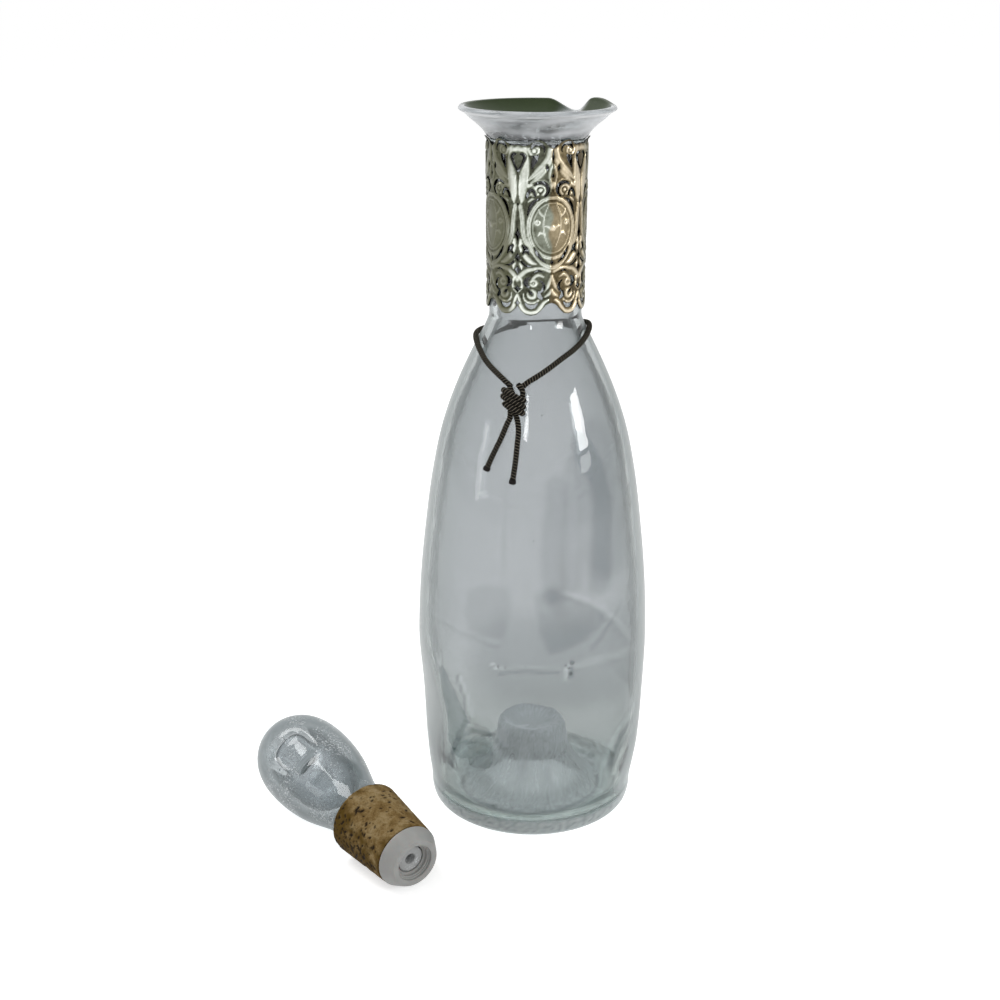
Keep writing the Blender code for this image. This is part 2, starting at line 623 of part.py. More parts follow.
def stopper_finial(parent):
    stem_top = LINER_FLANGE_LENGTH + TOUCH_GAP + CORK_LENGTH + TOUCH_GAP
    end = stem_top + FINIAL_LENGTH
    belly = stem_top + FINIAL_SHARES[-1][0] * FINIAL_LENGTH
    outer = [(STEM_RADIUS, STEM_INSET), (STEM_RADIUS, stem_top), (FINIAL_NECK_RADIUS, stem_top)]
    outer += traced(FINIAL_SHARES, FINIAL_NECK_RADIUS, FINIAL_RADIUS, stem_top, end)[1:]
    outer += traced(FINIAL_END_SHARES, 0.0, FINIAL_RADIUS, belly, end)
    bubble = traced(BUBBLE_SHARES, STEM_BORE, FINIAL_RADIUS - FINIAL_WALL,
                    stem_top + FINIAL_WALL * BUBBLE_FOOT_SHARE, end - FINIAL_WALL)
    inner = [(0.0, end - FINIAL_WALL)] + bubble[::-1] + [(STEM_BORE, STEM_INSET)]
    bm = turned(inner + outer, FINIAL_SEGMENTS)
    dimple_height = belly - FINIAL_DIMPLE_HALF / 2
    for vert in bm.verts:
        radius = math.hypot(vert.co.x, vert.co.y)
        if radius < FINIAL_NECK_RADIUS / 2 or vert.co.z < stem_top:
            continue
        for index in range(FINIAL_DIMPLE_COUNT):
            middle_turn = FINIAL_DIMPLE_TURN + index * math.tau / FINIAL_DIMPLE_COUNT
            apart = angle_between(turn_of(vert.co), middle_turn)
            across = apart * FINIAL_RADIUS / FINIAL_DIMPLE_HALF
            along = abs(vert.co.z - dimple_height) / FINIAL_DIMPLE_HALF
            reach = (across ** 4 + along ** 4) ** 0.25
            inside_share = smoothstep((FINIAL_DIMPLE_REACH_SHARE - reach) / FINIAL_DIMPLE_EDGE_SHARE)
            push = FINIAL_DIMPLE_DEPTH * FINIAL_DIMPLE_SHARES[index] * inside_share
            vert.co.x *= (radius - push) / radius
            vert.co.y *= (radius - push) / radius
    glass = material("finial_glass", (0.80, 0.84, 0.85), 0.04)
    return object_from_bmesh(bm, "stopper_finial", glass, parent)


def stopper_cork(parent):
    foot = LINER_FLANGE_LENGTH + TOUCH_GAP
    top = foot + CORK_LENGTH
    bore = STEM_RADIUS + TOUCH_GAP + LINER_WALL + TOUCH_GAP
    profile = [(bore, foot), (CORK_BOTTOM_RADIUS - CORK_EDGE, foot), (CORK_BOTTOM_RADIUS, foot + CORK_EDGE),
               (CORK_TOP_RADIUS, top - CORK_EDGE), (CORK_TOP_RADIUS - CORK_EDGE, top), (bore, top)]
    bm = turned(profile, FINIAL_SEGMENTS, closed=True)
    return object_from_bmesh(bm, "stopper_cork", material("cork", (0.52, 0.38, 0.22), 0.85), parent)


def stopper_liner(parent):
    # Plastic flange that keeps the cork on, with a stepped recess and a thin sleeve up the cork
    bore = STEM_RADIUS + TOUCH_GAP
    sleeve = bore + LINER_WALL
    top = LINER_FLANGE_LENGTH + TOUCH_GAP + CORK_LENGTH
    rounding = (LINER_FLANGE_RADIUS - LINER_END_RADIUS) / 2
    step_radius = (LINER_RECESS_RADIUS + bore) / 2
    profile = [(LINER_RECESS_RADIUS, 0.0), (LINER_END_RADIUS - rounding, 0.0), (LINER_END_RADIUS, rounding),
               (LINER_FLANGE_RADIUS, LINER_FLANGE_LENGTH - rounding / 2),
               (LINER_FLANGE_RADIUS - rounding / 2, LINER_FLANGE_LENGTH), (sleeve, LINER_FLANGE_LENGTH),
               (sleeve, top), (bore, top), (bore, LINER_RECESS_DEPTH + LINER_STEP_DEPTH),
               (step_radius, LINER_RECESS_DEPTH + LINER_STEP_DEPTH), (step_radius, LINER_RECESS_DEPTH),
               (LINER_RECESS_RADIUS, LINER_RECESS_DEPTH)]
    bm = turned(profile, FINIAL_SEGMENTS, closed=True)
    plastic = material("white_plastic", (0.80, 0.80, 0.78), 0.35)
    return object_from_bmesh(bm, "stopper_liner", plastic, parent)


def stopper(parent):
    # The stopper lies on the cork's upper rim and the finial's belly, so its axis dips a little
    axis = bpy.data.objects.new("stopper_axis", None)
    bpy.context.scene.collection.objects.link(axis)
    axis.parent = parent
    pieces = [stopper_finial(axis), stopper_cork(axis), stopper_liner(axis)]
    cork_top = LINER_FLANGE_LENGTH + CORK_LENGTH
    belly = cork_top + FINIAL_SHARES[-1][0] * FINIAL_LENGTH
    dip = math.atan((FINIAL_RADIUS - CORK_TOP_RADIUS) / (belly - cork_top))
    level = math.cos(dip)
    along = Vector((-math.sin(STOPPER_TURN) * level, math.cos(STOPPER_TURN) * level, math.sin(dip)))
    side = Vector((0.0, 0.0, 1.0)).cross(along).normalized()
    over = along.cross(side)
    # dimples are counted from the stopper's own front, so its front faces up
    turn = Matrix((side, -over, along)).transposed().to_4x4()
    turn.translation = Vector((STOPPER_AWAY_X, STOPPER_AWAY_Y, 0.0))
    axis.matrix_local = turn
    bpy.context.view_layer.update()
    lowest = min((axis.matrix_world @ vert.co).z for piece in pieces for vert in piece.data.vertices)
    turn.translation.z -= lowest
    axis.matrix_local = turn
    return pieces


def centre_on_footprint(place, pieces):
    # Moves the set so that the origin is in the middle of what stands on the table
    bpy.context.view_layer.update()
    corners = [piece.matrix_world @ vert.co for piece in pieces for vert in piece.data.vertices]
    for axis in range(2):
        values = [corner[axis] for corner in corners]
        place.location[axis] = -(min(values) + max(values)) / 2
    print("bottle axis at, metres:", [round(value, 5) for value in place.location])


def main():
    clear_scene()
    place = bpy.data.objects.new("decanter_axis", None)
    bpy.context.scene.collection.objects.link(place)
    rigid = [glass_body(place), neck_collar(place)]
    neck_cord(place)
    rigid += stopper(place)
    centre_on_footprint(place, rigid)


main()
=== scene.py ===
import math

import bmesh
import bpy
import numpy as np
from mathutils import Matrix, Vector, noise


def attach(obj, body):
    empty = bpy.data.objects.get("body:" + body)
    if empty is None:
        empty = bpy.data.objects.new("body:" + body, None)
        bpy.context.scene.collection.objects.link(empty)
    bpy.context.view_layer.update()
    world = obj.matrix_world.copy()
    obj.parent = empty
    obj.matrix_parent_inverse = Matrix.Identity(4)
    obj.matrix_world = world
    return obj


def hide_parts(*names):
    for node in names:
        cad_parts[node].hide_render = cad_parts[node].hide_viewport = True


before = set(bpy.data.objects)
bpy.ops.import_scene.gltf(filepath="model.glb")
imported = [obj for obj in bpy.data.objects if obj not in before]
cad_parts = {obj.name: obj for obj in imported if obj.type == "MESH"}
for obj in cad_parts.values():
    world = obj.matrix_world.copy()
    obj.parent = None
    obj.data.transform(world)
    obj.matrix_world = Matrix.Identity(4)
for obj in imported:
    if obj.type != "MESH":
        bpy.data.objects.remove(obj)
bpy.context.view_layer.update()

scene = bpy.context.scene
scene.view_settings.view_transform = "Standard"
axisFoot = Vector((0.03532, 0.02035, 0.0))  # where the bottle's axis meets the table
print("frame loaded")


# sockets and nodes
class Wire:
    # a shader socket that takes Python's own arithmetic
    def __init__(self, tree, socket):
        self.tree = tree
        self.socket = socket

    def sum(self, operation, left, right):
        node = self.tree.nodes.new("ShaderNodeMath")
        node.operation = operation
        for slot, value in zip(node.inputs, (left, right)):
            if isinstance(value, Wire):
                self.tree.links.new(value.socket, slot)
            else:
                slot.default_value = value
        return Wire(self.tree, node.outputs[0])

    def __add__(self, other):
        return self.sum("ADD", self, other)

    def __sub__(self, other):
        return self.sum("SUBTRACT", self, other)

    def __rsub__(self, other):
        return self.sum("SUBTRACT", other, self)

    def __mul__(self, other):
        return self.sum("MULTIPLY", self, other)

    __radd__ = __add__
    __rmul__ = __mul__


class Finish:
    # one material or the world, built up node by node
    def __init__(self, tree):
        self.tree = tree
        tree.nodes.clear()

    def make(self, kind, settings=None, values=None, out=0):
        node = self.tree.nodes.new("ShaderNode" + kind)
        for key, value in (settings or {}).items():
            if key == "stops":
                stops = node.color_ramp.elements
                while len(stops) > 1:
                    stops.remove(stops[0])
                for index, (place, colour) in enumerate(value):
                    stop = stops.new(place) if index else stops[0]
                    stop.position = place
                    stop.color = (*colour, 1.0)
            else:
                setattr(node, key, value)
        for key, value in (values or {}).items():
            if isinstance(value, Wire):
                self.tree.links.new(value.socket, node.inputs[key])
            else:
                node.inputs[key].default_value = value
        return Wire(self.tree, node.outputs[out]) if node.outputs else None

    def blend(self, share, first, second, how="MIX"):
        paint = [value if isinstance(value, Wire) else (*value, 1.0) for value in (first, second)]
        return self.make("Mix", {"data_type": "RGBA", "blend_type": how},
                         {0: share, 6: paint[0], 7: paint[1]}, out=2)

    def ramp(self, share, stops):
        return self.make("ValToRGB", {"stops": stops}, {"Fac": share})

    def grey(self, share, low, high):
        # 0 below low, 1 above high
        return self.make("MapRange", {"clamp": True}, {"Value": share, "From Min": low, "From Max": high})

    def fleck(self, scale, detail=2.0, rough=0.5):
        # noise fixed to the piece
        place = self.make("TexCoord", None, None, "Object")
        values = {"Scale": scale, "Detail": detail, "Roughness": rough, "Vector": place}
        return self.make("TexNoise", None, values)

    def rough(self, height, distance, strength):
        values = {"Height": height, "Distance": distance, "Strength": strength}
        return self.make("Bump", None, values, "Normal")

    def stored(self, name):
        return self.make("Attribute", {"attribute_name": name}, None, "Fac")

    def skin(self, values):
        # the whole surface as one Principled node
        self.make("OutputMaterial", None, {"Surface": self.make("BsdfPrincipled", None, values)})


def newMaterial(name):
    material = bpy.data.materials.new(name)
    material.use_nodes = True
    return material, Finish(material.node_tree)


# metres from the bottle's axis, degrees, and the lens in millimetres
cameraView = {"back": 0.6565, "height": 0.3609, "pitch": 18.8, "yaw": -1.227, "roll": 0.214, "lens": 59.29}


def makeCamera():
    pitch, yaw, roll = (math.radians(cameraView[key]) for key in ("pitch", "yaw", "roll"))
    ahead = Vector((math.sin(yaw) * math.cos(pitch), math.cos(yaw) * math.cos(pitch), -math.sin(pitch)))
    right = Vector((math.cos(yaw), -math.sin(yaw), 0.0))
    up = right.cross(ahead)
    sideways = right * math.cos(roll) + up * math.sin(roll)
    upwards = up * math.cos(roll) - right * math.sin(roll)
    matrix = Matrix((sideways, upwards, -ahead)).transposed().to_4x4()
    matrix.translation = axisFoot + Vector((0.0, -cameraView["back"], cameraView["height"]))
    data = bpy.data.cameras.new("camera")
    data.sensor_width = 36.0
    data.lens = cameraView["lens"]
    data.clip_start, data.clip_end = 0.02, 60.0
    camera = bpy.data.objects.new("camera", data)
    camera.matrix_world = matrix
    scene.collection.objects.link(camera)
    scene.camera = camera


makeCamera()


# shapes shared by the pieces
def smoothStep(value):
    # for one number; eased does the same for many
    value = min(1.0, max(0.0, value))
    return value * value * (3.0 - 2.0 * value)


def clamp(values):
    return np.clip(values, 0, 1)


def eased(values):
    values = clamp(values)
    return values * values * (3 - 2 * values)


def mottle(x, y, z):
    # noise at each of many places
    return np.array([noise.noise(Vector(place)) for place in np.broadcast(x, y, z)])


def around(radius, turn, height):
    # a place round an upright axis; turn 0 is -Y, the front
    return Vector((radius * math.sin(turn), -radius * math.cos(turn), height))


def swell(turn, middle, halfAngle):
    # 1 at the middle of a pulled or pressed place, falling to 0 at its sides
    apart = abs((turn - middle + math.pi) % math.tau - math.pi)
    return math.cos(math.pi / 2 * apart / halfAngle) ** 2 if apart < halfAngle else 0.0


def traced(shares, startRadius, endRadius, startHeight, endHeight):
    return [(startRadius + share * (endRadius - startRadius),
             startHeight + along * (endHeight - startHeight)) for along, share in shares]


def curveThrough(points, samples):
    # smooth curve through the points, however unevenly they are spaced
    points = [np.array(point, float) for point in points]
    padded = [points[0] * 2 - points[1]] + points + [points[-1] * 2 - points[-2]]
    dense = []
    for p0, p1, p2, p3 in zip(padded, padded[1:], padded[2:], padded[3:]):
        before, here, after = (max(1e-9, np.linalg.norm(b - a)) for a, b in ((p0, p1), (p1, p2), (p2, p3)))
        leaving = ((p1 - p0) / before * here + (p2 - p1) / here * before) / (before + here) * here
        arriving = ((p2 - p1) / here * after + (p3 - p2) / after * here) / (here + after) * here
        for step in range(samples):
            t = step / samples
            dense.append(p1 * (2 * t ** 3 - 3 * t * t + 1) + leaving * (t ** 3 - 2 * t * t + t)
                         + p2 * (3 * t * t - 2 * t ** 3) + arriving * (t ** 3 - t * t))
    dense.append(points[-1])
    return dense


def evenly(points, spacing):
    # the same line read off at equal steps
    points = np.array(points)
    along = np.concatenate(([0.0], np.cumsum(np.linalg.norm(np.diff(points, axis=0), axis=1))))
    count = max(2, round(along[-1] / spacing))
    wanted = np.linspace(0.0, along[-1], count + 1)
    return np.stack([np.interp(wanted, along, points[:, k]) for k in range(points.shape[1])], 1), wanted


def newPiece(name, points, faces, material, body, replaced=(), sharp=None, stored=None):
    mesh = bpy.data.meshes.new(name)
    mesh.from_pydata([tuple(point) for point in points], [], faces)
    mesh.update()
    mesh.shade_smooth()
    if sharp:
        mesh.set_sharp_from_angle(angle=math.radians(sharp))
    for key, values in (stored or {}).items():
        layer = mesh.attributes.new(key, "FLOAT", "POINT")
        layer.data.foreach_set("value", np.asarray(values, np.float32))
    mesh.materials.append(material)
    piece = bpy.data.objects.new(name, mesh)
    scene.collection.objects.link(piece)
    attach(piece, body)
    if replaced:
        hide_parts(*replaced)
    return piece


def turnedShape(profile, segments, warp=None, closed=False):
    # spins a line of (radius, height) round Z; warp(radius, turn, height) moves a point, and a closed
    # line joins its end to its start
    points, faces, rings = [], [], []
    for radius, height in profile:
        if radius < 1e-7:
            rings.append([len(points)] * segments)
            points.append((0.0, 0.0, height))
            continue
        rings.append(list(range(len(points), len(points) + segments)))
        for k in range(segments):
            turn = math.tau * k / segments
            r, z = warp(radius, turn, height) if warp else (radius, height)
            points.append((r * math.sin(turn), -r * math.cos(turn), z))
    for lower, upper in zip(rings, rings[1:] + rings[:1] * closed):
        for k in range(segments):
            face = [lower[k], lower[(k + 1) % segments], upper[(k + 1) % segments], upper[k]]
            face = [index for place, index in enumerate(face) if index != face[place - 1]]
            if len(face) > 2:
                faces.append(face)
    return points, faces


# the bottle's outline, from the same sizes as its solid
bottle = {"belly": 0.078, "bellyRadius": 0.0488, "neckFoot": 0.218, "neckRadius": 0.0187, "bore": 0.0154,
          "flare": 0.287, "rim": 0.300, "lipRadius": 0.0311, "lipWall": 0.0030, "taper": 0.0004,
          "heel": 0.012, "heelRadius": 0.0437, "heelWall": 0.0075, "footOuter": 0.0362, "footInner": 0.0326,
          "footRound": 0.0009, "wall": 0.0030, "floor": 0.0060, "floorRadius": 0.0296,
          "punt": 0.0375, "puntCrest": 0.0128, "puntDish": 0.0036, "puntGlass": 0.0048, "kickOver": 0.006}
shoulderLine = ((0.0, 1.0), (0.18, 0.966), (0.36, 0.884), (0.53, 0.775), (0.67, 0.635), (0.79, 0.440),
                (0.87, 0.275), (0.925, 0.150), (0.965, 0.055), (1.0, 0.0))
lowerLine = ((0.0, 0.0), (0.13, 0.32), (0.28, 0.68), (0.46, 0.92), (0.70, 1.02), (1.0, 1.0))
flareLine = ((0.0, 0.0), (0.13, 0.09), (0.28, 0.20), (0.44, 0.37), (0.62, 0.61), (0.80, 0.83), (1.0, 1.0))
heelLine = ((0.0, 0.0), (0.05, 0.40), (0.27, 0.80), (0.62, 0.97), (1.0, 1.0))
puntLine = ((1.0, 1.0), (0.94, 1.12), (0.80, 1.19), (0.56, 1.32), (0.30, 1.62), (0.10, 2.05))
kickLine = ((0.05, 0.93), (0.14, 0.80), (0.30, 0.62), (0.56, 0.45), (0.80, 0.36), (0.94, 0.26), (1.0, 0.0))
# places along the straight neck, so that the smooth curve stays straight there
neckShares = (0.03, 0.09, 0.22, 0.45, 0.70, 0.87, 0.95, 0.985)


def outerLine():
    b = bottle
    neck = [(b["neckRadius"] + b["taper"] * share, b["neckFoot"] + share * (b["flare"] - b["neckFoot"]))
            for share in neckShares]
    heel = traced(heelLine, b["footOuter"], b["heelRadius"], 0.0, b["heel"])
    lower = traced(lowerLine, b["heelRadius"], b["bellyRadius"], b["heel"], b["belly"])
    shoulder = traced(shoulderLine, b["neckRadius"], b["bellyRadius"], b["belly"], b["neckFoot"])
    flare = traced(flareLine, b["neckRadius"] + b["taper"], b["lipRadius"], b["flare"], b["rim"])
    return heel + lower[1:] + shoulder[1:] + neck + flare[:-1]


def innerLine():
    b = bottle
    flare = traced(flareLine, b["bore"], b["lipRadius"] - b["lipWall"], b["flare"] + b["lipWall"] / 2,
                   b["rim"] - b["lipWall"] / 3)
    shoulder = traced(shoulderLine, b["bore"], b["bellyRadius"] - b["wall"], b["belly"],
                      b["neckFoot"] - b["wall"] / 2)
    neck = [(b["bore"], shoulder[-1][1] + share * (flare[0][1] - shoulder[-1][1])) for share in neckShares]
    innerHeel = b["heelRadius"] - b["heelWall"] + b["wall"]
    lower = traced(lowerLine, innerHeel, b["bellyRadius"] - b["wall"],
                   b["floor"] + b["heelWall"], b["belly"])
    corner = [((innerHeel + b["floorRadius"] + b["wall"]) / 2, b["floor"] + b["wall"] / 2),
              (b["floorRadius"], b["floor"])]
    return flare[::-1] + neck[::-1] + shoulder[::-1] + lower[:-1][::-1] + corner


def puntTop():
    b = bottle
    side = [(b["puntCrest"] * share, b["floor"] + along * (b["punt"] - b["floor"]))
            for along, share in reversed(puntLine)]
    low = b["punt"] - b["puntDish"]
    return side + [(b["puntCrest"] * 0.80, b["punt"] - b["puntDish"] * 0.30),
                   (b["puntCrest"] * 0.46, low + b["puntDish"] * 0.12), (0.0, low)]


def kickUnder():
    # from beyond the middle of the kick, so that the curve is level there, out to the foot
    b = bottle
    top = b["punt"] - b["puntDish"] - b["puntGlass"]
    slope = [(b["footInner"] * share, along * top) for along, share in reversed(kickLine)]
    return [(-b["kickOver"], top)] + slope + [(b["footInner"], 0.0)]


outerPoints = outerLine()


def glassRadius(height):
    heights = [point[1] for point in outerPoints]
    radii = [point[0] for point in outerPoints]
    return float(np.interp(height, heights, radii))


# cord: one braided length, tied in front, its ends sealed
cord = {"diameter": 0.0023, "stand": 0.0013, "step": 0.00015, "sides": 14, "twist": 2, "pitch": 0.00115,
        "relief": 0.00024, "tip": 0.0018, "tipSwell": 0.26, "tipRound": 0.0006,
        "dark": (0.004, 0.0035, 0.003), "pale": (0.34, 0.31, 0.25), "olive": (0.022, 0.017, 0.007)}
knot = {"turn": -13.7, "height": 0.1889, "length": 0.0094, "wide": 0.0042, "deep": 0.0027, "middle": 0.0037,
        "top": 0.0030, "pitch": 0.00245, "turns": 2.45, "tilt": 30.0,
        "steps": 12}
loopRoute = ((-18.4, .833), (-22.5, .844), (-30, .860), (-43, .883), (-60, .911), (-78, .929), (-97, .934),
             (-118, .933), (-140, .930), (-160, .930), (-180, .933), (-200, .938), (-220, .945),
             (-240, .955), (-262, .963), (-284, .959), (-303, .944), (-321, .924), (-336, .904),
             (-349, .880), (-358.5, .860), (-365, .846), (-369.6, .834))
leftTail = ((-27.4, .599), (-23.6, .650), (-20.2, .691), (-17.2, .733))
rightTail = ((-9.9, .729), (-9.8, .679), (-10.4, .629), (-11.6, .570))


def onGlass(turnDegrees, height):
    # where the cord's middle lies on the glass
    turn = math.radians(turnDegrees)
    step = cord["stand"] / 3
    slope = (glassRadius(height + step) - glassRadius(height - step)) / (2 * step)
    radius = glassRadius(height) + cord["stand"] * math.sqrt(1.0 + slope * slope)
    return axisFoot + around(radius, turn, height)


def alongGlass(route):
    # a route of turns in degrees and of shares of the shoulder's rise
    rise = bottle["neckFoot"] - bottle["belly"]
    return [onGlass(turn, bottle["belly"] + share * rise) for turn, share in route]


def knotPlace():
    below = onGlass(knot["turn"], knot["height"] - knot["length"] / 2)
    above = onGlass(knot["turn"], knot["height"] + knot["length"] / 2)
    up = (above - below).normalized()
    turn = math.radians(knot["turn"])
    right = Vector((math.cos(turn), math.sin(turn), 0.0))
    place = Matrix((right, up, right.cross(up))).transposed().to_4x4()
    place.translation = (above + below) / 2 - right.cross(up) * cord["stand"]
    return place


def cordPath():
    # left tail, through the knot, round the neck, about two and a half turns round the knot, right tail
    place = knotPlace()
    core = [(-0.0012, -0.0062, 0.0014), (-0.0010, -0.0036, 0.0024), (-0.0007, 0.0, 0.0035),
            (-0.0011, 0.0034, 0.0024), (-0.0024, 0.0058, 0.0015)]
    wraps = [(0.0013, 0.0066, 0.0022), (0.0030, 0.0046, 0.0024)]
    steps = round(knot["turns"] * knot["steps"])
    for index in range(steps + 1):
        angle = math.radians(-35.0) + math.tau * knot["turns"] * index / steps
        x = knot["wide"] * math.cos(angle)
        y = knot["top"] - knot["pitch"] * angle / math.tau - x * math.tan(math.radians(knot["tilt"]))
        wraps.append((x, y, knot["middle"] + knot["deep"] * math.sin(angle)))
    wraps += [(0.0011, -0.0052, 0.0014)]
    points = alongGlass(leftTail) + [place @ Vector(point) for point in core] + alongGlass(loopRoute)
    points += [place @ Vector(point) for point in wraps] + alongGlass(rightTail)
    return evenly(curveThrough(points, 10), cord["step"])


def braidMaterial():
    material, finish = newMaterial("cordBraid")
    crest, tip = finish.stored("crest"), finish.stored("tip")
    wear = finish.fleck(420.0, 3.0)
    yarn = finish.ramp(crest, [(0.0, cord["dark"]), (0.70, cord["dark"]), (0.84, cord["olive"]),
                               (0.96, cord["pale"])])
    worn = finish.blend(finish.grey(wear, 0.40, 0.80) * 0.15, yarn, cord["olive"])
    colour = finish.blend(tip, worn, (0.012, 0.010, 0.009))
    fibres = finish.fleck(3800.0, 2.0)
    finish.skin({"Base Color": colour, "Roughness": 0.8 - tip * 0.3, "Specular IOR Level": 0.1,
                 "Normal": finish.rough(fibres, 0.00006, 0.6)})
    return material


def makeCord():
    path, along = cordPath()
    sides, length = cord["sides"], along[-1]
    tangents = np.gradient(path, axis=0)
    tangents /= np.linalg.norm(tangents, axis=1)[:, None]
    side = np.cross(tangents[0], (0.0, 0.0, 1.0))
    points, faces, crests, tips = [], [], [], []
    angles = np.arange(sides) * math.tau / sides
    for centre, tangent, s in zip(path, tangents, along):
        side = side - tangent * np.dot(side, tangent)
        side /= np.linalg.norm(side)
        other = np.cross(tangent, side)
        toEnd = min(s, length - s)
        tip = smoothStep((cord["tip"] * 1.25 - toEnd) / (cord["tip"] * 0.4))  # 1 on the sealed end
        crest = 0.5 + 0.5 * np.cos(cord["twist"] * angles + math.tau * s / cord["pitch"])
        radius = cord["diameter"] / 2 + cord["relief"] * (crest - 0.75) * (1 - tip)
        rounding = math.sqrt(max(0.02, 1 - max(0.0, 1 - toEnd / cord["tipRound"]) ** 2))
        radius = (radius + cord["diameter"] / 2 * cord["tipSwell"] * tip) * rounding
        points.extend(centre + radius[:, None] * (np.cos(angles)[:, None] * side
                                                  + np.sin(angles)[:, None] * other))
        crests.extend(crest * (1 - tip))
        tips.extend([tip] * sides)
    rings = len(path)
    for ring in range(0, (rings - 1) * sides, sides):
        for k in range(sides):
            a, b = ring + k, ring + (k + 1) % sides
            faces.append((a, b, b + sides, a + sides))
    faces += [tuple(range(sides))[::-1], tuple(range((rings - 1) * sides, rings * sides))]
    piece = newPiece("neckCord", points, faces, braidMaterial(), "cord",
                     ("cord_loop", "cord_knot", "cord_tail_left", "cord_tail_right"),
                     stored={"crest": crests, "tip": tips})
    print("cord", round(float(length), 4), "m, rings", rings)


makeCord()


pinches = {"count": 4, "depth": 0.0040, "low": 0.010, "high": 0.084, "half": math.radians(44),
           "turn": math.radians(20), "arch": 0.006, "depths": (1.0, 0.85, 1.0, 0.9)}
spout = {"drop": 0.0046, "pull": 0.0022, "turn": math.radians(151), "half": math.radians(21)}
wave = {"rise": 0.0013, "turn": math.radians(125), "half": math.radians(26)}
# edge is the grey of the painted edge shade; cover is the dark green painted as shade on the back of the lip;
# milk is the pale colour of the painted sheen on the flare and punt and of the scuffed heel; inside and foot
# are painted tones inside the base and at the foot
clearGlass = {"tint": (0.925, 0.944, 0.966), "green": (0.40, 0.62, 0.54), "density": 18.0, "segments": 168,
              "low": (0.67, 0.71, 0.69), "cover": (0.028, 0.044, 0.014), "seeds": 26,
              "edge": (0.30, 0.335, 0.335), "rimStart": 0.56, "rimEnd": 0.70,
              "milk": (0.60, 0.62, 0.64), "crackle": 0.0, "fine": 9, "spacing": 0.00130, "inside": 0.44,
              "foot": 0.25, "round": 46.0, "soft": 3.0, "bubbleDepth": 0.0016, "seedRows": (0.095, 0.19),
              "seedDepth": (0.0012, 0.0018), "seedSize": (0.00015, 0.00035)}
# Painted shade and painted highlights on the front of the glass, standing in for the room's reflections in
# its facets, creases and bubbles. Each is a line of (turn, height in mm), its half width in mm and how dark
# it is. Half width 0 fills the outline, and a darkness below 0 is a painted highlight.
paintedGlassShading = (
    (((13, 156), (11, 140), (10, 128), (11, 114)), 5.0, 0.40),
    (((30, 172), (38, 160), (41, 148), (39, 137), (36, 116)), 5.4, 0.52),
    (((24, 164), (22, 150), (21, 136), (20, 118)), 4.6, 0.32),
    (((1, 113), (10, 117), (23, 110), (37, 103), (38, 99), (27, 93), (16, 89), (8, 88), (4, 97)), 0, 0.42),
    (((10, 112), (13, 107)), 3.2, 0.16),
    (((-34, 112), (-23, 116), (-12, 116), (-10, 110), (-13, 95), (-31, 92), (-35, 103)), 0, 0.30),
    (((-15, 160), (-15, 118)), 1.2, 0.14),
    (((16, 114), (29, 109), (38, 104), (47, 97), (58, 86)), 0.8, -0.50),
    (((16, 112), (29, 107), (37, 101), (45, 94), (53, 86)), 0.8, 0.30),
    (((30, 88), (40, 96), (50, 104)), 0.9, 0.30),
    (((-60, 94), (-43, 94), (-29, 92), (-16, 90)), 0.7, 0.26),
    (((-60, 96), (-43, 96), (-29, 94), (-18, 93)), 0.8, -0.16),
    (((-17, 81), (-10, 82), (-3, 82.5), (13, 82)), 0.5, -0.40),
    (((-16, 79), (-3, 81), (13, 80)), 0.7, 0.40),
    (((22, 82), (37, 83), (49, 82), (67, 80)), 1.7, -0.34),
    (((-39, 73), (-34, 64), (-33, 55), (-41, 44), (-45, 36)), 1.0, 0.80),
    (((-36.5, 73), (-31.5, 64), (-30.5, 54), (-37.5, 42), (-41.5, 34)), 1.0, -0.70),
    (((66, 56), (49, 45), (41, 31), (40, 17)), 1.2, -1.0),
    (((72, 54), (53, 43), (45, 29)), 1.3, 0.95),
    (((68, 43), (57, 31), (51, 20)), 1.4, 1.0),
    (((76, 31), (61, 20), (48, 12)), 1.2, -0.90),
    (((-47, 28), (-43, 40), (-31, 51), (-20, 51), (-14, 45)), 1.0, 0.95),
    (((-43.5, 27), (-39.5, 37), (-29, 48), (-20, 48), (-16, 43)), 1.0, -0.90),
    (((-39, 26), (-37, 18), (-21, 14), (0, 13), (21, 15), (37, 19), (39, 27)), 0.8, 0.85),
    (((-43, 30), (-41, 16), (-23, 11), (0, 10), (23, 12), (43, 17), (46, 30)), 0.9, -0.90),
    (((-56, 11), (-35, 7), (-15, 6), (2, 5), (24, 5), (45, 7), (70, 9)), 1.1, -0.60),
    (((-31, 180), (-30, 165), (-28, 152)), 1.4, -0.30),
    (((-31, 152), (-25, 152)), 0.8, -0.60),
    (((16.0, 83.5), (17.5, 81.0), (17.0, 78.0), (18.0, 76.0)), 0.5, -1.0),
    (((17.5, 81), (20.5, 84.5)), 0.5, -1.0),
    (((18.6, 84.0), (18.8, 80.0), (19.4, 77.0)), 0.5, 0.9),
    (((-19, 82.5), (-16, 81)), 0.7, -1.0),
    (((-23, 15.5), (-19, 15.0)), 0.9, 1.0),
    (((-50, 60), (-47, 45), (-50, 34)), 2.4, 0.30),
    (((-4, 84), (25, 82), (62, 80)), 20.0, 0.54),
    (((40, 170), (42, 150), (42, 128)), 12.0, 0.50),
)


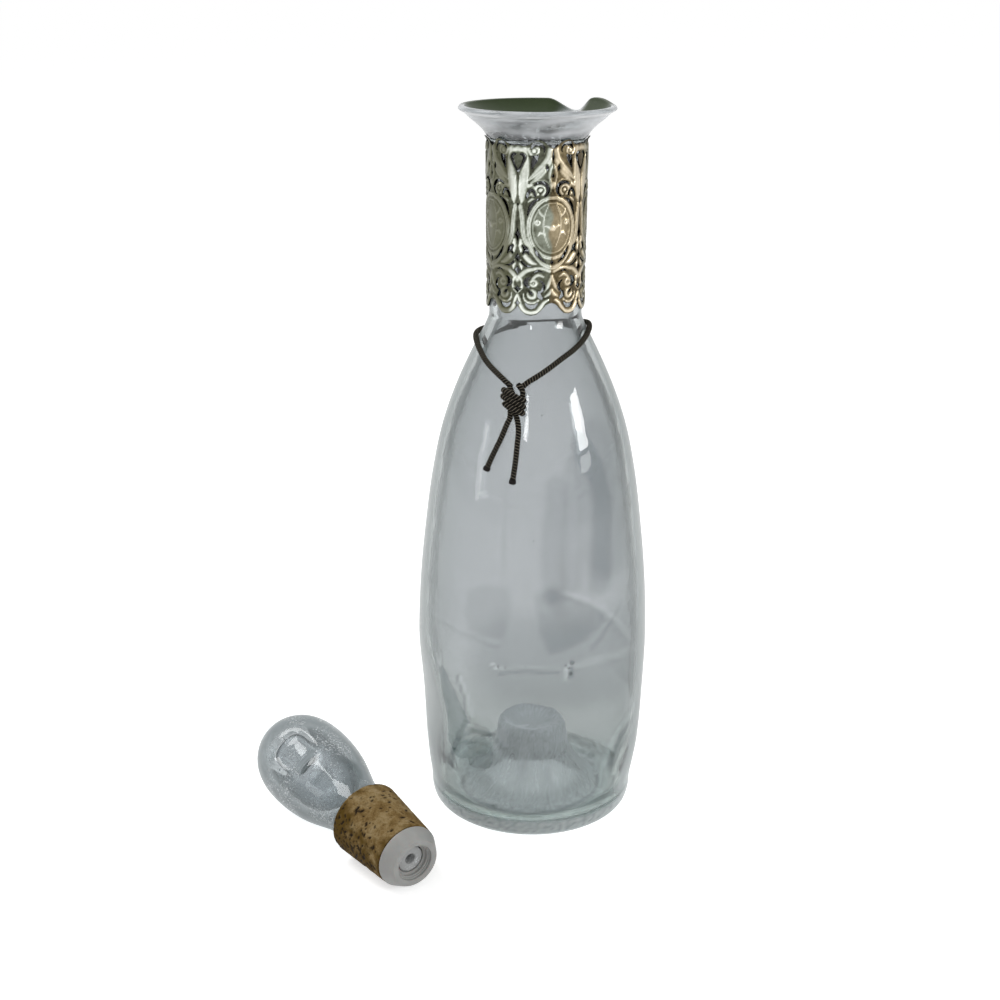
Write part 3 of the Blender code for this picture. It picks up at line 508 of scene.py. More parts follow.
def paintedMarkShading(turns, heights):
    # how much painted shade or painted highlight the marks put on each place of the glass, measured on the
    # glass laid flat
    across, up = np.degrees(turns) * math.radians(clearGlass["round"]), heights * 1000
    paintedTones = np.zeros(len(across))
    for line, half, dark in paintedGlassShading:
        points = [(math.radians(turn) * clearGlass["round"], height) for turn, height in line]
        filled = half == 0
        apart, inside = np.full(len(across), 1e3), np.zeros(len(across), bool)
        for (ax, ay), (bx, by) in zip(points, points[1:] + points[:1] * filled):
            wide, high = bx - ax, by - ay
            t = clamp(((across - ax) * wide + (up - ay) * high) / (wide ** 2 + high ** 2))
            apart = np.minimum(apart, np.hypot(across - ax - t * wide, up - ay - t * high))
            if filled and high:
                inside ^= ((ay > up) != (by > up)) & (across < wide * (up - ay) / high + ax)
        soft = clearGlass["soft"] if filled else max(0.8, half * 0.8)
        over = np.where(inside, apart, -apart) if filled else half - apart
        paintedTones += dark * eased(0.5 + over / soft)
    return paintedTones


def bottleWarp(radius, turn, height):
    if radius > bottle["floorRadius"] and pinches["low"] < height < pinches["high"]:
        push = 0.0
        for index in range(pinches["count"]):
            across = swell(turn, pinches["turn"] + index * math.tau / pinches["count"], pinches["half"])
            top = pinches["high"] - pinches["arch"] * (1.0 - across)
            middle = (pinches["low"] + top) / 2
            falling = smoothStep((top - height) / (top - middle))
            rising = smoothStep((height - pinches["low"]) / (middle - pinches["low"]))
            push += pinches["depth"] * pinches["depths"][index] * across * falling * rising
        radius -= push
    up = (height - bottle["flare"]) / (bottle["rim"] - bottle["flare"])
    if up > 0.0:
        pull = swell(turn, spout["turn"], spout["half"]) * up ** 1.5
        radius += spout["pull"] * pull
        height += wave["rise"] * swell(turn, wave["turn"], wave["half"]) * up ** 2 - spout["drop"] * pull
    return radius, height


def glassMaterial(name, look):
    # tone paints shade and highlights onto the glass; its slanting sides get painted edge shade, which calm
    # holds back; and covered makes it dull, which carries the painted shade on the lip, the painted sheen on
    # the flare and punt, and the scuffed heel
    material, finish = newMaterial(name)
    tint, low = look["tint"], look["low"]
    seeds = finish.fleck(55.0, 2.0) * 0.7 + finish.fleck(260.0, 1.0) * 0.12
    streak = finish.fleck(9.0, 2.0)
    calm, covered = finish.stored("calm"), finish.stored("covered")
    colour = finish.blend(finish.grey(streak, 0.35, 0.65) * 0.6, tint, [value * 0.93 for value in tint])
    colour = finish.blend(finish.stored("lower"), colour, low)
    paintedTones = finish.ramp(finish.stored("tone"), [(0.0, (1.0, 1.0, 1.0)), (0.5, (0.64, 0.64, 0.64)),
                                                (1.0, (0.24, 0.26, 0.27))])
    colour = finish.blend(1.0, colour, paintedTones, "MULTIPLY")
    # painted edge shade: the colour darkens as the glass slants away from the view
    slant = finish.make("LayerWeight", None, {"Blend": 0.5}, "Facing")
    shade = finish.ramp(slant, [(0.0, (1.0, 1.0, 1.0)), (0.30, (0.93, 0.935, 0.935)),
                                (0.55, (0.72, 0.745, 0.735)), (0.75, (0.48, 0.52, 0.50)),
                                (1.0, (0.30, 0.34, 0.32))])
    colour = finish.blend(1.0 - calm, colour, finish.blend(1.0, colour, shade, "MULTIPLY"))
    bumps = finish.rough(seeds, 0.0007, 0.5)
    clearSurface = finish.make("BsdfPrincipled", None, {
        "Base Color": colour, "Roughness": 0.01, "IOR": 1.5, "Transmission Weight": 1.0,
        "Specular IOR Level": 0.2, "Normal": bumps})
    crackle, milky = 0.0, finish.stored("milk")
    if look["crackle"]:
        patches = finish.grey(finish.fleck(95.0, 2.0), 0.48, 0.60)
        crackle = finish.grey(finish.fleck(1300.0, 2.0, 0.6), 0.54, 0.66) * patches * look["crackle"]
        milky = milky + crackle * 1.4
    dullColour = finish.blend(milky, finish.blend(covered, look["edge"], look["cover"]), look["milk"])
    dull = finish.make("BsdfPrincipled", None, {
        "Base Color": dullColour, "Roughness": 0.32, "Specular IOR Level": 0.2, "Normal": bumps})
    # rim mixes the dull edge grey in at slanting sides, as painted edge shade
    rim = finish.grey(slant, look["rimStart"], look["rimEnd"]) * (1.0 - calm * 0.75) * 0.88
    share = covered + rim * (1.0 - covered) + crackle
    surface = finish.make("MixShader", None, {0: share, 1: clearSurface, 2: dull})
    clear = finish.make("BsdfTransparent", None, {"Color": (*[value ** 0.5 for value in tint], 1.0)})
    shadowRays = finish.make("LightPath", None, None, "Is Shadow Ray")
    surface = finish.make("MixShader", None, {0: shadowRays, 1: surface, 2: clear})
    inside = finish.make("VolumeAbsorption", None,
                         {"Color": (*look["green"], 1.0), "Density": look["density"]})
    finish.make("OutputMaterial", None, {"Surface": surface, "Volume": inside})
    return material


def airSeeds(piece, places, sizes):
    # tiny closed bubbles, their skins facing into the air inside them
    ring, rows = 8, 5
    bm = bmesh.new()
    bm.from_mesh(piece.data)
    bm.verts.ensure_lookup_table()
    before = len(bm.verts)
    for centre, size in zip(places, sizes):
        top = bm.verts.new(centre + Vector((0, 0, size)))
        low = bm.verts.new(centre - Vector((0, 0, size)))
        rings = []
        for row in range(1, rows):
            dip = math.pi * row / rows
            flat = size * math.sin(dip)
            rings.append([bm.verts.new(centre + Vector((flat * math.cos(math.tau * k / ring),
                                                        flat * math.sin(math.tau * k / ring),
                                                        size * math.cos(dip)))) for k in range(ring)])
        for k in range(ring):
            n = (k + 1) % ring
            bm.faces.new((top, rings[0][n], rings[0][k]))
            bm.faces.new((low, rings[-1][k], rings[-1][n]))
            for upper, lower in zip(rings, rings[1:]):
                bm.faces.new((upper[k], upper[n], lower[n], lower[k]))
    calm = bm.verts.layers.float.get("calm")
    for vert in list(bm.verts)[before:]:
        vert[calm] = 0.7
    bm.to_mesh(piece.data)
    bm.free()
    piece.data.shade_smooth()


# a few larger bubbles in the front wall: turn, height, size
frontBubbles = ((20.2, 0.0832, 0.00100), (18.4, 0.0812, 0.00065), (19.4, 0.0785, 0.00085),
                (17.0, 0.0825, 0.00050), (18.2, 0.0770, 0.00045), (-16.5, 0.0815, 0.00055),
                (-13.0, 0.0812, 0.00040), (-3.0, 0.0824, 0.00040), (-21.0, 0.0150, 0.00080),
                (-19.3, 0.0156, 0.00055))


def bottleLine():
    # the whole wall as one line, from under the base, and how many of its points lie outside
    b = bottle
    foot = [(b["footInner"] + b["footRound"], 0.0), (b["footOuter"] - b["footRound"], 0.0)]
    lip = [(b["lipRadius"], b["rim"] - b["lipWall"] / 3), (b["lipRadius"] - b["lipWall"] * 0.25, b["rim"]),
           (b["lipRadius"] - b["lipWall"] * 0.75, b["rim"])]
    under = curveThrough(kickUnder(), 5)
    under = [(0.0, float(under[0][1]))] + [tuple(point) for point in under if point[0] > 0.002]
    outside = curveThrough(outerPoints + lip, clearGlass["fine"])
    plain = [point for point in outside if point[1] < b["flare"] - 0.002]
    outside = list(evenly(plain, clearGlass["spacing"])[0]) + outside[len(plain):]
    inside = curveThrough(lip[1:] + innerLine() + puntTop(), 5)[6:]
    line = under + foot + [tuple(point) for point in outside + inside]
    return [(max(0.0, float(r)), max(0.0, float(z))) for r, z in line], len(under + foot + outside)


# where light and shade are painted on the glass and where it is worn; heights and lengths in metres, turns in
# radians
glassPaintAndWear = {"greenShadeFoot": 0.2932, "greenShadeWave": 0.0016, "greenShadeFade": 0.0014, "greenShadeTurn": 1.40,
             "greenShadeSpread": 0.45, "clearTurn": spout["turn"] - 0.05, "clearHalf": spout["half"] * 0.8,
             "paintedSheenTurn": 1.85, "paintedSheenSpread": 0.55, "paintedSheenFoot": 0.2882, "paintedSheenFade": 0.003, "heel": 0.0102,
             "heelFade": 0.002, "heelMilk": 0.66, "puntRadius": 0.033, "puntTop": 0.06, "flank": 0.024,
             "flankFade": 0.006, "pressed": 0.0065, "skin": 0.0014, "marksTop": 0.215, "footTop": 0.010,
             "calmFlare": (0.281, 0.004), "calmFoot": (0.014, 0.008), "calmFloor": 0.05,
             "lowerTint": (0.085, 0.06),
             "paintedGleams": ((-0.20, 0.021, 0.16, 0.0075), (0.42, 0.016, 0.12, 0.0065),
                        (-0.95, 0.030, 0.20, 0.006))}


def glassLayers(points, outerCount):
    # what the glass material reads at each point
    w = glassPaintAndWear
    turns = np.array([math.atan2(x, -y) for x, y, _ in points])
    heights = np.array([z for _, _, z in points])
    depth = np.array([math.hypot(x, y) for x, y, _ in points])
    outside = np.arange(len(points)) < outerCount
    reach = np.array([glassRadius(z) for z in heights])
    reach -= w["pressed"] * (heights < pinches["high"]) * (heights > bottle["heel"])
    wall = (depth > reach - w["skin"]) & (heights < w["marksTop"]) & outside
    # the dark green painted shade on the back of the lip, left clear at the spout, and the painted pale
    # sheen, a painted reflection, on the front of the flare
    gone = np.array([swell(turn, w["clearTurn"], w["clearHalf"]) for turn in turns])
    low = w["greenShadeFoot"] + w["greenShadeWave"] * mottle(turns * 2.3, 0.0, 4.0)
    covered = eased((np.abs(turns) - w["greenShadeTurn"]) / w["greenShadeSpread"])
    covered = covered * eased((heights - low) / w["greenShadeFade"]) * (1 - gone)
    milk = clamp((w["paintedSheenTurn"] - np.abs(turns)) / w["paintedSheenSpread"])
    milk = milk * clamp((heights - w["paintedSheenFoot"]) / w["paintedSheenFade"]) * outside
    milk *= np.clip(0.62 + mottle(turns * 2.6, 7.0, heights * 260) * 0.9, 0.30, 0.95) * (1 - covered)
    covered = covered + milk
    milk = milk / np.maximum(covered, 1e-6)
    # the scuffed heel, and on the kick inside a dull cover that is painted shade and painted light, with
    # painted highlights (the gleams)
    worn = mottle(turns * 22, 3.0, heights * 700)
    scuffsAndPuntShading = clamp((w["heel"] - heights) / w["heelFade"]) * outside * np.clip(0.62 + worn * 0.5, 0.35, 0.95)
    dome = ~outside & (depth < w["puntRadius"]) & (heights < w["puntTop"])
    paintedGleam = sum(np.exp(-((turns - turn) / wide) ** 2 - ((heights - height) / tall) ** 2)
                for turn, height, wide, tall in w["paintedGleams"])
    paintedPuntShade = 0.34 + clamp((heights - w["flank"]) / w["flankFade"]) * 0.26 + worn * 0.3 + paintedGleam * 0.5
    scuffsAndPuntShading = np.where(dome, np.clip(paintedPuntShade, 0.1, 0.9), scuffsAndPuntShading)
    milk = np.where(scuffsAndPuntShading > 0, np.where(dome, 1.0, w["heelMilk"]), milk)
    # painted shade and painted highlights on the glass (tone), where its painted edge shade is held back
    # (calm), and its tint low down
    # inside the base the glass gets a set painted tone, and the foot is painted lighter
    plain = np.where(heights < w["puntTop"], clearGlass["inside"], 0.5)
    paintedTones = np.where(wall, 0.5 + paintedMarkShading(turns, heights) / 2, plain)
    paintedTones = np.where(heights < w["footTop"], np.minimum(paintedTones, clearGlass["foot"]), paintedTones)
    (flare, flareFade), (foot, footFade), (tintTop, tintFade) = w["calmFlare"], w["calmFoot"], w["lowerTint"]
    calm = clamp((heights - flare) / flareFade) + clamp((foot - heights) / footFade)
    calm = clamp(calm + (~wall & (heights < w["calmFloor"]))) * 0.9
    lower = clamp((tintTop - heights) / tintFade) * np.where(wall, 1.0, 0.1)
    return {"covered": np.maximum(covered, scuffsAndPuntShading), "milk": milk, "tone": paintedTones, "calm": calm,
            "lower": lower}


def makeBottle():
    line, outerRings = bottleLine()
    points, faces = turnedShape(line, clearGlass["segments"], bottleWarp)
    layers = glassLayers(points, outerRings * clearGlass["segments"])
    points = [Vector(point) + axisFoot for point in points]
    piece = newPiece("bottleGlass", points, faces, glassMaterial("bottleGlass", clearGlass), "decanter",
                     ("glass_body",), stored=layers)
    outwards(piece)
    rng = np.random.default_rng(5)
    places, sizes = [], []
    for turn, height, size in frontBubbles:
        turn = math.radians(turn)
        radius, height = bottleWarp(glassRadius(height) - clearGlass["bubbleDepth"], turn, height)
        places.append(axisFoot + around(radius, turn, height))
        sizes.append(size)
    for index in range(clearGlass["seeds"]):
        turn, height = rng.uniform(0, math.tau), rng.uniform(*clearGlass["seedRows"])
        radius = glassRadius(height) - rng.uniform(*clearGlass["seedDepth"])
        places.append(axisFoot + around(radius, turn, height))
        sizes.append(rng.uniform(*clearGlass["seedSize"]))
    airSeeds(piece, places, sizes)


def outwards(piece):
    # joins the points that coincide and turns every face outwards
    bm = bmesh.new()
    bm.from_mesh(piece.data)
    bmesh.ops.remove_doubles(bm, verts=bm.verts, dist=2e-6)
    bmesh.ops.recalc_face_normals(bm, faces=bm.faces)
    bm.to_mesh(piece.data)
    bm.free()


makeBottle()
print("bottle made")


# collar: a thin band, pierced and stamped with scrolls; the turns of its colours are in degrees
collar = {"sheet": 0.0005, "gap": 0.0003, "height": 0.0680, "foot": 0.2207, "panels": 4.5, "axisTurn": 18.5,
          "seamHalves": 5, "seam": 0.0006, "across": 32, "up": 172, "relief": 0.00052, "edge": 0.0006,
          "blunt": 0.75, "pierce": 1.38, "groove": 0.22, "oval": (0.60, 0.15, 0.507, 0.35), "over": 0.008,
          "goldFrom": 15, "goldTo": 150, "sideShadeLeft": -26, "sideShadeRight": 60, "sideShadeBack": 120}
topEdge = ((0, 952), (120, 964), (240, 988), (360, 1000), (490, 1000), (610, 985), (740, 966), (1000, 970))
footEdge = ((0, 74), (160, 62), (300, 30), (440, 6), (600, 0), (760, 6), (900, 30), (1000, 56))
halfPanel = math.pi * bottle["neckRadius"] / collar["panels"]


def bow(across, up, wide, tall, start, end, steps):
    angles = [math.radians(start + (end - start) * step / steps) for step in range(steps + 1)]
    return [(across + wide * math.cos(angle), up + tall * math.sin(angle)) for angle in angles]


def arc(across, up, radius, start, end):
    # points of a round arc, its radius in thousandths of the height
    return bow(across, up, radius * collar["height"] / halfPanel, radius, start, end, 9)


def ovalLine(wide, tall, up):
    return bow(0, up, wide, tall, -90, 90, 16)


# pierced places: a line in thousandths of the half panel and of the height, and its widths along it
pierced = (
    (((180, 862), (160, 828)), (4, 14, 4)),
    (((440, 914), (530, 886), (600, 842)), (8, 24, 6)),
    (((600, 908), (500, 908)), (6, 10)),
    (((360, 676), (500, 662), (610, 638), (680, 604), (720, 574)), (4, 13, 13, 4)),
    (((160, 306), (300, 328), (420, 358), (520, 396)), (3, 9, 12, 4)),
    (((580, 286), (740, 290), (880, 312)), (3, 9, 8)),
    (arc(440, 944, 36, 10, 200), (4, 20, 10, 5)),
    (arc(360, 722, 43, 40, 240), (5, 14, 16, 5)),
    (arc(600, 193, 29, -78, 78), (6, 22, 6)),
    (arc(420, 170, 37, 115, 255), (6, 14, 7)),
    (arc(590, 86, 36, 200, 340), (5, 20, 5)),
    (((500, 688), (540, 712), (610, 724), (690, 708), (745, 680)), (8, 10, 13, 10)),
    (((660, 354), (760, 388), (840, 404)), (4, 20, 10)),
    (((800, 372), (840, 360)), (10, 8)),
    (((290, 100), (350, 114), (370, 142)), (12, 18, 5)),
    (((570, 127), (660, 144)), (7, 12, 6)),
    (((220, 250), (400, 262), (570, 243)), (3, 7, 3)),
    (((945, 919), (880, 921), (810, 907), (840, 884), (900, 856), (1000, 826)), (6, 14, 13, 9, 10)),
)
# diamonds on the panel's own axis (0) and on its edge (1): where, how high, how tall, how wide
diamonds = ((0, 905, 80, 16), (0, 800, 34, 22), (0, 310, 40, 26), (1, 640, 22, 16), (1, 468, 94, 38),
            (1, 336, 56, 42), (1, 264, 54, 48), (1, 156, 44, 46), (1, 72, 34, 30))
# raised straps: line, widths, height as a share of the relief, depth of the groove down the middle
straps = (
    (((800, 955), (770, 905), (770, 855), (820, 800), (850, 740), (870, 680), (890, 650)),
     (26, 32, 38, 54, 50, 36, 10), 0.80, 0.0),
    (((710, 905), (705, 850), (710, 800), (740, 755)), (8, 10, 10, 6), 1.0, 0.0),
    (((930, 800), (930, 740), (940, 680)), (10, 24, 10), 0.95, 0.0),
    (((40, 945), (120, 895), (300, 850), (490, 815), (680, 780)), (50, 46, 40, 14), 0.85, 0.35),
    (((100, 885), (240, 835), (420, 795), (620, 762)), (30, 34, 30, 10), 0.75, 0.30),
    (((630, 952), (760, 944), (900, 946), (1000, 950)), (22, 26, 28), 0.75, 0.0),
    (arc(545, 940, 24, -90, 240), (14, 16, 12), 0.95, 0.0),
    (((260, 925), (260, 965), (360, 990), (500, 990)), (8, 12, 8), 0.7, 0.0),
    (arc(360, 722, 28, -60, 240), (16, 20, 14), 0.95, 0.0),
    (arc(360, 722, 56, 60, 200), (6, 14, 6), 0.7, 0.0),
    (((740, 775), (710, 745), (600, 752), (520, 735)), (12, 24, 18, 10), 0.85, 0.0),
    (((560, 690), (620, 700), (670, 690)), (10, 20, 10), 0.8, 0.0),
    (((440, 652), (500, 664), (600, 668), (700, 655)), (10, 20, 20, 6), 0.8, 0.0),
    (((930, 632), (885, 585), (855, 530), (830, 475), (760, 432), (640, 395), (500, 360),
      (360, 322), (220, 296), (80, 282), (0, 280)), (26, 30, 28, 26), 0.85, 0.40),
    (ovalLine(680, 172, 507), (20, 28, 20), 0.90, 0.55),
    (ovalLine(560, 142, 507), (8, 10, 8), 0.60, 0.0),
    (((900, 390), (800, 352), (700, 330), (580, 310), (450, 302)), (8, 28, 30, 8), 0.9, 0.0),
    (((905, 440), (895, 405), (900, 372)), (14, 34, 10), 1.0, 0.0),
    (((900, 322), (885, 300), (875, 272)), (8, 26, 8), 1.0, 0.0),
    (((60, 258), (300, 276), (520, 272), (720, 262), (880, 236), (1000, 208)),
     (18, 20, 24, 28, 26), 0.8, 0.0),
    (((240, 226), (380, 238), (520, 222), (600, 195)), (10, 20, 20, 10), 0.75, 0.0),
    (((1000, 232), (900, 214), (850, 190), (880, 160), (1000, 134)), (14, 18, 16), 0.95, 0.0),
    (arc(575, 124, 20, 0, 330), (18, 22, 18), 0.90, 0.0),
    (arc(575, 118, 46, 170, 370), (8, 18, 8), 0.95, 0.0),
    (arc(530, 190, 16, 30, 330), (14, 18, 14), 0.85, 0.0),
    (((1000, 120), (945, 98), (900, 60), (780, 26), (600, 15), (440, 22), (320, 48),
      (220, 76), (100, 92)), (14, 24, 26, 24, 12), 0.9, 0.0),
    (((0, 232), (50, 200), (120, 170), (220, 140)), (14, 22, 22, 10), 0.8, 0.0),
    (((0, 150), (80, 125), (200, 110)), (16, 20, 8), 0.75, 0.0),
    (((0, 760), (80, 735), (160, 700), (200, 660)), (20, 26, 22, 8), 0.8, 0.0),
    (((0, 865), (60, 845), (100, 800), (60, 755)), (12, 16, 14, 8), 0.7, 0.0),
    (((100, 400), (200, 450), (260, 510), (240, 575), (120, 640)), (6, 10, 10, 6), 0.75, 0.0),
    (((220, 470), (340, 480), (420, 462)), (6, 20, 6), 0.85, 0.0),
    (((250, 520), (120, 515), (40, 490)), (6, 20, 6), 0.85, 0.0),
    (((240, 570), (360, 592), (400, 612)), (6, 18, 6), 0.85, 0.0),
    (arc(430, 538, 12, 0, 340), (10, 12, 10), 0.9, 0.0),
)
# small round bosses: where, how high and how large
bosses = ((545, 940, 14), (360, 722, 12), (575, 124, 8), (0, 507, 20), (430, 538, 5), (530, 190, 6))


def strokeGap(across, up, line, widths):
    # how far each place of the grid is from a line, and the line's half width there, in metres
    points = [np.array((s / 1000 * halfPanel, t / 1000 * collar["height"])) for s, t in line]
    points = curveThrough(points, 5) if len(points) > 2 else points
    best = np.full(across.shape, 1.0)
    width = np.full(across.shape, 1e-6)
    for index, (a, b) in enumerate(zip(points, points[1:])):
        way = b - a
        t = clamp(((across - a[0]) * way[0] + (up - a[1]) * way[1]) / (way @ way))
        apart = np.hypot(across - a[0] - t * way[0], up - a[1] - t * way[1])
        place = (index + t) / (len(points) - 1)
        half = np.interp(place, np.linspace(0, 1, len(widths)), widths) * collar["height"] / 2000
        nearer = apart - half < best - width
        best = np.where(nearer, apart, best)
        width = np.where(nearer, half, width)
    return best, width


def collarRise():
    # heights of the grid's rows over the collar's foot, a little past both edges
    return np.linspace(-collar["over"], 1 + collar["over"], collar["up"] + 1) * collar["height"]


def panelFields():
    # over one half panel: how far inside the metal each place is, and how far it stands out
    tall = collar["height"]
    across, up = np.meshgrid(np.linspace(0, 1, collar["across"] + 1) * halfPanel, collarRise(), indexing="ij")
    shares = across / halfPanel
    top, foot = (np.interp(shares * 1000, *zip(*edge)) / 1000 * tall for edge in (topEdge, footEdge))
    metal = np.minimum(top - up, up - foot)
    for line, widths in pierced:
        apart, half = strokeGap(across, up, line, [width * collar["pierce"] for width in widths])
        metal = np.minimum(metal, apart - half)
    for side, middle, high, wide in diamonds:
        a, b = wide / 2000 * tall, high / 2000 * tall
        x, y = np.abs(across - side * halfPanel) / a, np.abs(up - middle / 1000 * tall) / b
        away = (x ** collar["blunt"] + y ** collar["blunt"]) ** (1 / collar["blunt"]) - 1
        metal = np.minimum(metal, away * a * b / math.hypot(a, b))
    raised = np.zeros(across.shape)
    for line, widths, high, groove in straps:
        apart, half = strokeGap(across, up, line, widths)
        share = apart / half
        dome = np.sqrt(clamp(1 - share ** 2)) * high
        raised = np.maximum(raised, dome * (1 - groove * np.exp(-(share / collar["groove"]) ** 2)))
    for s, t, size in bosses:
        share = np.hypot(across - s / 1000 * halfPanel, up - t / 1000 * tall) / (size / 1000 * tall)
        raised = np.maximum(raised, np.sqrt(clamp(1 - share ** 2)))
    wide, high, middle, crown = collar["oval"]
    oval = (shares / wide) ** 2 + ((up / tall - middle) / high) ** 2
    raised = np.maximum(raised, clamp(1 - oval) ** 0.5 * crown)
    return np.where(np.abs(metal) < 1e-7, 1e-7, metal), raised * eased(metal / collar["edge"])


def metalFinish():
    material, finish = newMaterial("agedMetal")
    crest, gold, dull = finish.stored("crest"), finish.stored("gold"), finish.stored("dull")
    cloud = finish.fleck(230.0, 4.0, 0.65)
    grain = finish.fleck(2600.0, 2.0)
    dents = finish.fleck(800.0, 3.0, 0.7)
    # worn is darkest in the hollows, where it is patina, and on the inside of the band, where it is painted
    # shade
    worn = finish.grey(crest * 0.8 + cloud * 0.40 + dents * 0.34, 0.10, 1.36)
    silver = finish.ramp(worn, [(0.0, (0.012, 0.012, 0.009)), (0.14, (0.030, 0.031, 0.020)),
                                (0.26, (0.105, 0.112, 0.080)), (0.50, (0.30, 0.325, 0.265)),
                                (0.84, (0.86, 0.89, 0.82))])
    brass = finish.ramp(worn, [(0.0, (0.004, 0.003, 0.002)), (0.14, (0.034, 0.025, 0.011)),
                               (0.26, (0.115, 0.090, 0.048)), (0.50, (0.29, 0.240, 0.152)),
                               (0.84, (0.72, 0.63, 0.47))])
    # olive: the darker colour of the painted side shade
    olive = finish.ramp(worn, [(0.0, (0.004, 0.004, 0.003)), (0.14, (0.045, 0.045, 0.022)),
                               (0.26, (0.104, 0.106, 0.066)), (0.84, (0.195, 0.195, 0.146))])
    colour = finish.blend(dull, finish.blend(gold, silver, brass), olive)
    finish.skin({"Base Color": colour, "Metallic": 0.9, "Roughness": 0.44 - worn * 0.20,
                 "Normal": finish.rough(cloud * 0.5 + dents * 0.4 + grain * 0.1, 0.00016, 0.6)})
    return material


def makeCollar():
    c = collar
    metal, raised = panelFields()
    halves = round(2 * c["panels"])
    order = []
    for index in range(halves):
        order += range(c["across"]) if index % 2 else range(c["across"], 0, -1)
    order.append(0 if halves % 2 else c["across"])
    metal, raised = metal[order], raised[order]
    flat = np.linspace(c["seam"] / 2, halves * halfPanel - c["seam"] / 2, len(order))
    rise = collarRise()
    places, found = [], {}

    def corner(i, j):
        if (i, j) not in found:
            found[i, j] = len(places)
            places.append((flat[i], rise[j], raised[i, j]))
        return found[i, j]

    def crossing(i, j, k, m):
        key = tuple(sorted(((i, j), (k, m))))
        if key not in found:
            (i, j), (k, m) = key
            share = metal[i, j] / (metal[i, j] - metal[k, m])
            found[key] = len(places)
            places.append((flat[i] + share * (flat[k] - flat[i]),
                           rise[j] + share * (rise[m] - rise[j]), 0.0))
        return found[key]

    sheet = []
    for i in range(len(order) - 1):
        for j in range(c["up"]):
            ring = ((i, j), (i + 1, j), (i + 1, j + 1), (i, j + 1))
            kept = [metal[place] > 0 for place in ring]
            if not any(kept):
                continue
            face = []
            for k in range(4):
                if kept[k]:
                    face.append(corner(*ring[k]))
                if kept[k] != kept[(k + 1) % 4]:
                    face.append(crossing(*ring[k], *ring[(k + 1) % 4]))
            sheet.append(face)
    sides = {(face[k - 1], face[k]) for face in sheet for k in range(len(face))}
    rim = [(a, b) for a, b in sides if (b, a) not in sides]
    places = np.array(places)
    count = len(places)
    startTurn = math.radians(c["axisTurn"]) - c["seamHalves"] * math.pi / c["panels"]
    turns = startTurn + places[:, 0] / bottle["neckRadius"]
    heights = c["foot"] + places[:, 1]
    inner = np.interp(heights, [p[1] for p in outerPoints], [p[0] for p in outerPoints]) + c["gap"]
    points = []
    for radius in (inner + c["sheet"] + places[:, 2] * c["relief"], inner):
        points += [(axisFoot.x + r * math.sin(turn), axisFoot.y - r * math.cos(turn), z)
                   for r, turn, z in zip(radius, turns, heights)]
    faces = list(sheet) + [[index + count for index in reversed(face)] for face in sheet]
    faces += [(b, a, a + count, b + count) for a, b in rim]
    # the colours change round the neck: brass on the right, silvered in front, and at the sides a dull olive
    # that is painted shade, standing in for dark surroundings reflected there
    degrees = np.degrees(turns)
    ragged = degrees + 4.0 * mottle(0.0, turns * 3, heights * 160)
    gold = clamp((ragged - c["goldFrom"]) / 3) * clamp((c["goldTo"] - degrees) / 20)
    dull = clamp((c["sideShadeLeft"] - ragged) / 8) + clamp((ragged - c["sideShadeRight"]) / 12) * 0.75
    dull *= 0.3 + 0.7 * clamp((c["sideShadeBack"] - np.abs(degrees)) / 25)
    # the inside of the band gets crest -1, its darkest colour, as painted shade for the shadowed inside
    crest = np.concatenate((places[:, 2], np.full(count, -1.0)))
    layers = {"crest": crest, "gold": np.tile(gold, 2), "dull": np.tile(dull, 2)}
    piece = newPiece("piercedCollar", points, faces, metalFinish(), "decanter",
                     ("neck_collar",), 50, layers)
    print("collar", len(piece.data.vertices), "points,", sum(len(face) - 2 for face in faces), "triangles")


makeCollar()


# stopper: cork on its liner, with the glass finial
stopper = {"gap": 0.0003, "flange": 0.0064, "flangeRadius": 0.0133, "endRadius": 0.0106, "sleeve": 0.0014,
           "recess": 0.0078, "recessDepth": 0.0019, "stepDepth": 0.0013, "stem": 0.0056, "stemBore": 0.0022,
           "stemInset": 0.0036, "cork": 0.0308, "turn": math.radians(37.5),
           "end": (-0.045396, -0.083802, 0.012771)}  # the middle of its outer end, from the bottle's axis
corkFoot = stopper["flange"] + stopper["gap"]
corkTop = corkFoot + stopper["cork"]
stemTop = corkTop + stopper["gap"]


def rounded(line, radius, closed=True):
    # the same line with its corners rounded off
    steps = 4
    line = [np.array(point, float) for point in line]
    result = []
    for index, point in enumerate(line):
        if not closed and index in (0, len(line) - 1):
            result.append(tuple(point))
            continue
        back, ahead = line[index - 1] - point, line[(index + 1) % len(line)] - point
        reach = min(radius, np.linalg.norm(back) * 0.45, np.linalg.norm(ahead) * 0.45)
        start = point + back / np.linalg.norm(back) * reach
        end = point + ahead / np.linalg.norm(ahead) * reach
        for step in range(steps + 1):
            t = step / steps
            result.append(tuple(start * (1 - t) ** 2 + point * 2 * t * (1 - t) + end * t * t))
    return result


def layStopper():
    # it lies on the cork's upper rim and the finial's belly, so its axis dips a little
    dip = math.atan((finial["radius"] - cork["topRadius"]) / (finialLine[-1][0] * finial["length"]))
    across, ahead = math.sin(stopper["turn"]), math.cos(stopper["turn"])
    along = Vector((-across * math.cos(dip), ahead * math.cos(dip), math.sin(dip)))
    side = Vector((0.0, 0.0, 1.0)).cross(along).normalized()
    place = Matrix((side, side.cross(along), along)).transposed().to_4x4()
    place.translation = axisFoot + Vector(stopper["end"])
    return place


def stopperPiece(name, points, faces, material, replaced, sharp=None, stored=None):
    points = [stopperPlace @ Vector(point) for point in points]
    piece = newPiece(name, points, faces, material, "stopper", (replaced,), sharp, stored)
    outwards(piece)
    return piece


